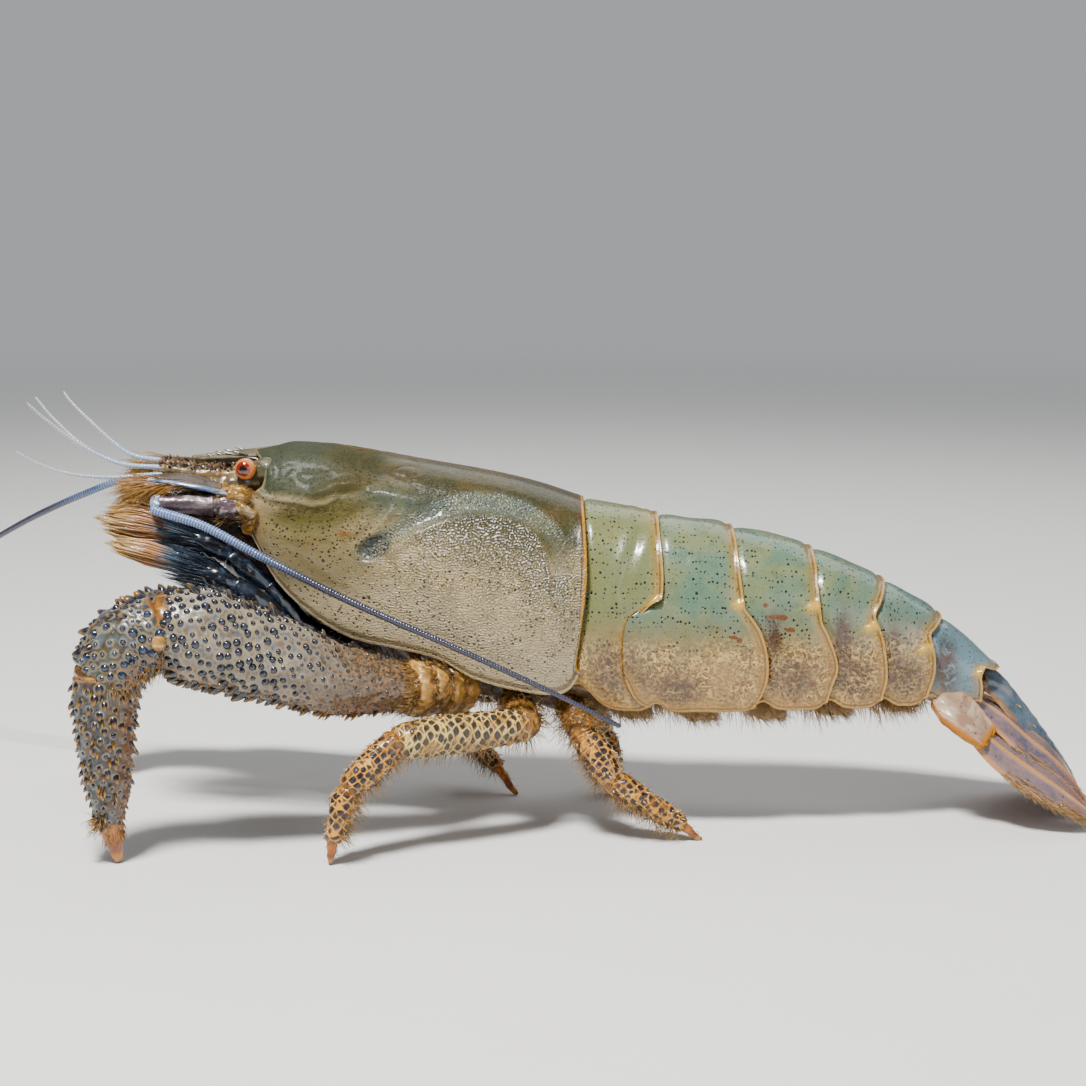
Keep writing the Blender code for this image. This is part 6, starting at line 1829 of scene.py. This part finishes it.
# the finishes by maker: each has its name, colours in screen values 0..255 and settings
finishes = (
    (carapaceMaterial, {"wetShell": ()}), (abdomenMaterial, {"ringedShell": ()}),
    (studdedMaterial, {      # pale, dark and warm
        "studdedSkin": ((156, 146, 130), (70, 72, 74), (128, 98, 64)),
        "carpusSkin": ((84, 86, 80), (36, 42, 46), (110, 82, 44)),
        "slateSkin": ((66, 74, 76), (30, 38, 42), (104, 80, 46)),
    }),
    (studMaterial, {      # dome, top, base and tip
        # the top colour is a painted highlight on the domes
        "navyStuds": ((18, 19, 25), (50, 54, 68), (62, 50, 40), (96, 80, 58)),
        "slateStuds": ((16, 22, 32), (56, 72, 100), (56, 48, 38), (150, 110, 60)),
        "goldSpines": ((64, 46, 28), (124, 90, 48), (70, 54, 38), (190, 146, 84)),
        "darkSpines": ((26, 22, 22), (70, 56, 46), (60, 50, 40), (140, 110, 80)),
        "creamSpines": ((190, 140, 84), (222, 190, 140), (200, 150, 90), (236, 208, 160)),
        "paleSpines": ((150, 120, 90), (210, 190, 160), (150, 120, 90), (232, 214, 186)),
    }),
    (headMaterial, {      # two patchy colours, streaks and how dull
        "jointSkin": ((154, 110, 62), (88, 62, 38), (198, 154, 98), 0.36),
        "hipMembrane": ((196, 148, 88), (100, 68, 38), (220, 182, 124), 0.46),
        "headSkin": ((110, 96, 70), (84, 80, 66), (150, 120, 80)),
        "rostrumShell": ((72, 74, 54), (92, 84, 60), (116, 102, 78), 0.42),
        "antennuleSkin": ((108, 96, 74), (140, 110, 74), (170, 152, 130)),
        "antennaSkin": ((104, 88, 92), (72, 60, 66), (160, 146, 150)),
        "pearlCuticle": ((158, 128, 84), (120, 92, 56), (206, 182, 142), 0.2),
        "whiteCuticle": ((160, 176, 206), (150, 160, 186), (222, 226, 234), 0.2),
        "amberCuticle": ((186, 130, 64), (120, 88, 46), (226, 186, 122)),
        # the scale's blade: its own brown, deepened as painted shade
        "scaleBlade": ((54, 42, 32), (78, 60, 44), (70, 64, 66)),
        "scaleRib": ((84, 108, 150), (128, 148, 184), (210, 216, 228), 0.2),
        "mouthParts": ((120, 84, 50), (90, 70, 52), (170, 130, 84), 0.4),
        "chestSkin": ((76, 54, 36), (54, 42, 34), (130, 90, 52), 0.4),
        "bellySkin": ((104, 82, 58), (80, 64, 50), (150, 120, 84), 0.4),
        "swimmeretSkin": ((164, 130, 90), (132, 106, 78), (196, 164, 120), 0.35),
    }),
    (bristleMaterial, {      # root, middle and tip
        "warmHair": ((96, 70, 42), (172, 134, 86), (226, 198, 152)),
        "darkHair": ((40, 32, 30), (78, 60, 52), (210, 170, 130)),
        "navyHair": ((10, 13, 20), (24, 36, 54), (84, 108, 128), 0.25),
        "bellyHair": ((150, 114, 74), (200, 162, 114), (228, 202, 158)),
        "scaleHair": ((70, 48, 28), (172, 122, 62), (226, 184, 122)),
        "fringeHair": ((150, 112, 70), (200, 160, 110), (224, 196, 150)),
    }),
    (nettedMaterial, {      # net, spot, ground, scale and how drawn out
        "nettedSkin": ((255, 216, 150), (28, 30, 34), (140, 110, 70), 960.0, (1.3, 1.0, 0.85)),
        "nettedFine": ((252, 182, 108), (26, 24, 30), (98, 80, 82), 1080.0),
    }),
    (feelerMaterial, {      # grooves and hoops near the root, the same far out, where they change
        "antennaFeeler": (((44, 76, 140), (168, 192, 228)), ((14, 16, 26), (62, 70, 98)), 0.24),
        "antennuleFeeler": (((164, 186, 214), (206, 218, 232)), ((178, 190, 208), (214, 214, 208)), 0.5),
    }),
    (fanMaterial, {      # two patchy colours, the edge and the gloss
        "tailBlades": ((142, 122, 122), (98, 96, 110), (218, 160, 106)),
        "tailBlock": ((226, 204, 182), (168, 140, 120), (200, 134, 74), 0.12),
        "telsonShell": ((106, 122, 134), (80, 98, 112), (168, 120, 64)),
    }),
    (clawMaterial, {"amberClaw": ()}),
    (glossyDarkMaterial, {"blueBlackShell": ()}),
    (brushMaterial, {"brushBristles": (), "brushCore": ()}),
    (eyeMaterial, {"eyeBall": ()}),
)


# floor, light and camera

stage = {
    "cameraPlace": (0.01085, -0.28386, 0.085), "cameraPitch": 80.1, "lens": 70.61, "sensor": 36.0,
    "floorColours": ((0.78, 0.78, 0.77), (0.82, 0.82, 0.81)), "lightsAim": (0.0, 0.0, 0.025),
    "floorRadius": 1.5, "fadeFrom": 0.22, "fadeTo": 0.8,
    "lights": (
        # name, place, size, watts, colour
        ("keyLight", (-0.08, -0.18, 0.42), (0.09, 0.06), 4.5, (1.0, 0.98, 0.94)),
        ("fillLight", (0.34, -0.36, 0.16), (0.35, 0.30), 0.7, (0.90, 0.95, 1.0)),
        ("rimLight", (0.10, 0.26, 0.34), (0.5, 0.3), 0.7, (1.0, 1.0, 1.0)),
    ),
    "world": (0.80, 0.82, 0.84), "worldStrength": 0.24, "backdropStrength": 0.5,
}


def inScene(name, data):
    made = bpy.data.objects.new(name, data)
    bpy.context.scene.collection.objects.link(made)
    return made


def buildStage():
    s = stage
    bm = bmesh.new()
    bmesh.ops.create_circle(bm, cap_ends=True, segments=96, radius=s["floorRadius"])
    floorMesh = bpy.data.meshes.new("floor")
    bm.to_mesh(floorMesh)
    bm.free()
    material = newMaterial("paleFloor")
    grain = noise(objectSpace(), 60, 4)
    # far from the animal the floor fades into the backdrop
    away = inOrder("VectorMath", (0,), (objectSpace(),), 1, operation="LENGTH")
    floorMesh.materials.append(dressed(material, blend(grain, *s["floorColours"]), 0.75, 0.0,
                                       Alpha=ease(away, s["fadeFrom"], s["fadeTo"], 1.0, 0.0)))
    inScene("floor", floorMesh)
    for name, place, size, watts, colour in s["lights"]:
        data = bpy.data.lights.new(name, "AREA")
        data.shape = "RECTANGLE"
        data.size, data.size_y = size
        data.energy = watts
        data.color = colour
        lamp = inScene(name, data)
        lamp.location = place
        aim = Vector(s["lightsAim"]) - Vector(place)
        lamp.rotation_euler = aim.to_track_quat("-Z", "Y").to_euler()
    world = bpy.data.worlds.new("studio")
    world.use_nodes = True
    building["tree"] = world.node_tree
    glow = world.node_tree.nodes["Background"].inputs
    plug(glow["Color"], s["world"])
    # the backdrop is brighter to look at than the light it gives
    plug(glow["Strength"], ease(node("LightPath", "Is Camera Ray"), 0.0, 1.0, s["worldStrength"],
                                s["backdropStrength"]))
    bpy.context.scene.world = world
    cameraData = bpy.data.cameras.new("camera")
    cameraData.lens = s["lens"]
    cameraData.sensor_width = s["sensor"]
    cameraData.clip_start = 0.01
    camera = inScene("camera", cameraData)
    camera.location = s["cameraPlace"]
    camera.rotation_euler = (math.radians(s["cameraPitch"]), 0, 0)
    bpy.context.scene.camera = camera


materials = {name: maker(name, *values) for maker, rows in finishes for name, values in rows.items()}
print("finishes ready")
buildCarapace()
print("carapace ready")
buildAbdomen()
print("abdomen ready")
buildThirdLegs()
print("third legs ready")
buildSlenderLegs()
print("slender legs ready")
buildFilterLegs()
print("filter legs ready")
buildEyes()
buildRostrum()
buildHead()
buildFeelers()
print("head ready")
buildUnderside()
buildTailFan()
print("underside and tail ready")

buildStage()
print("stage ready")
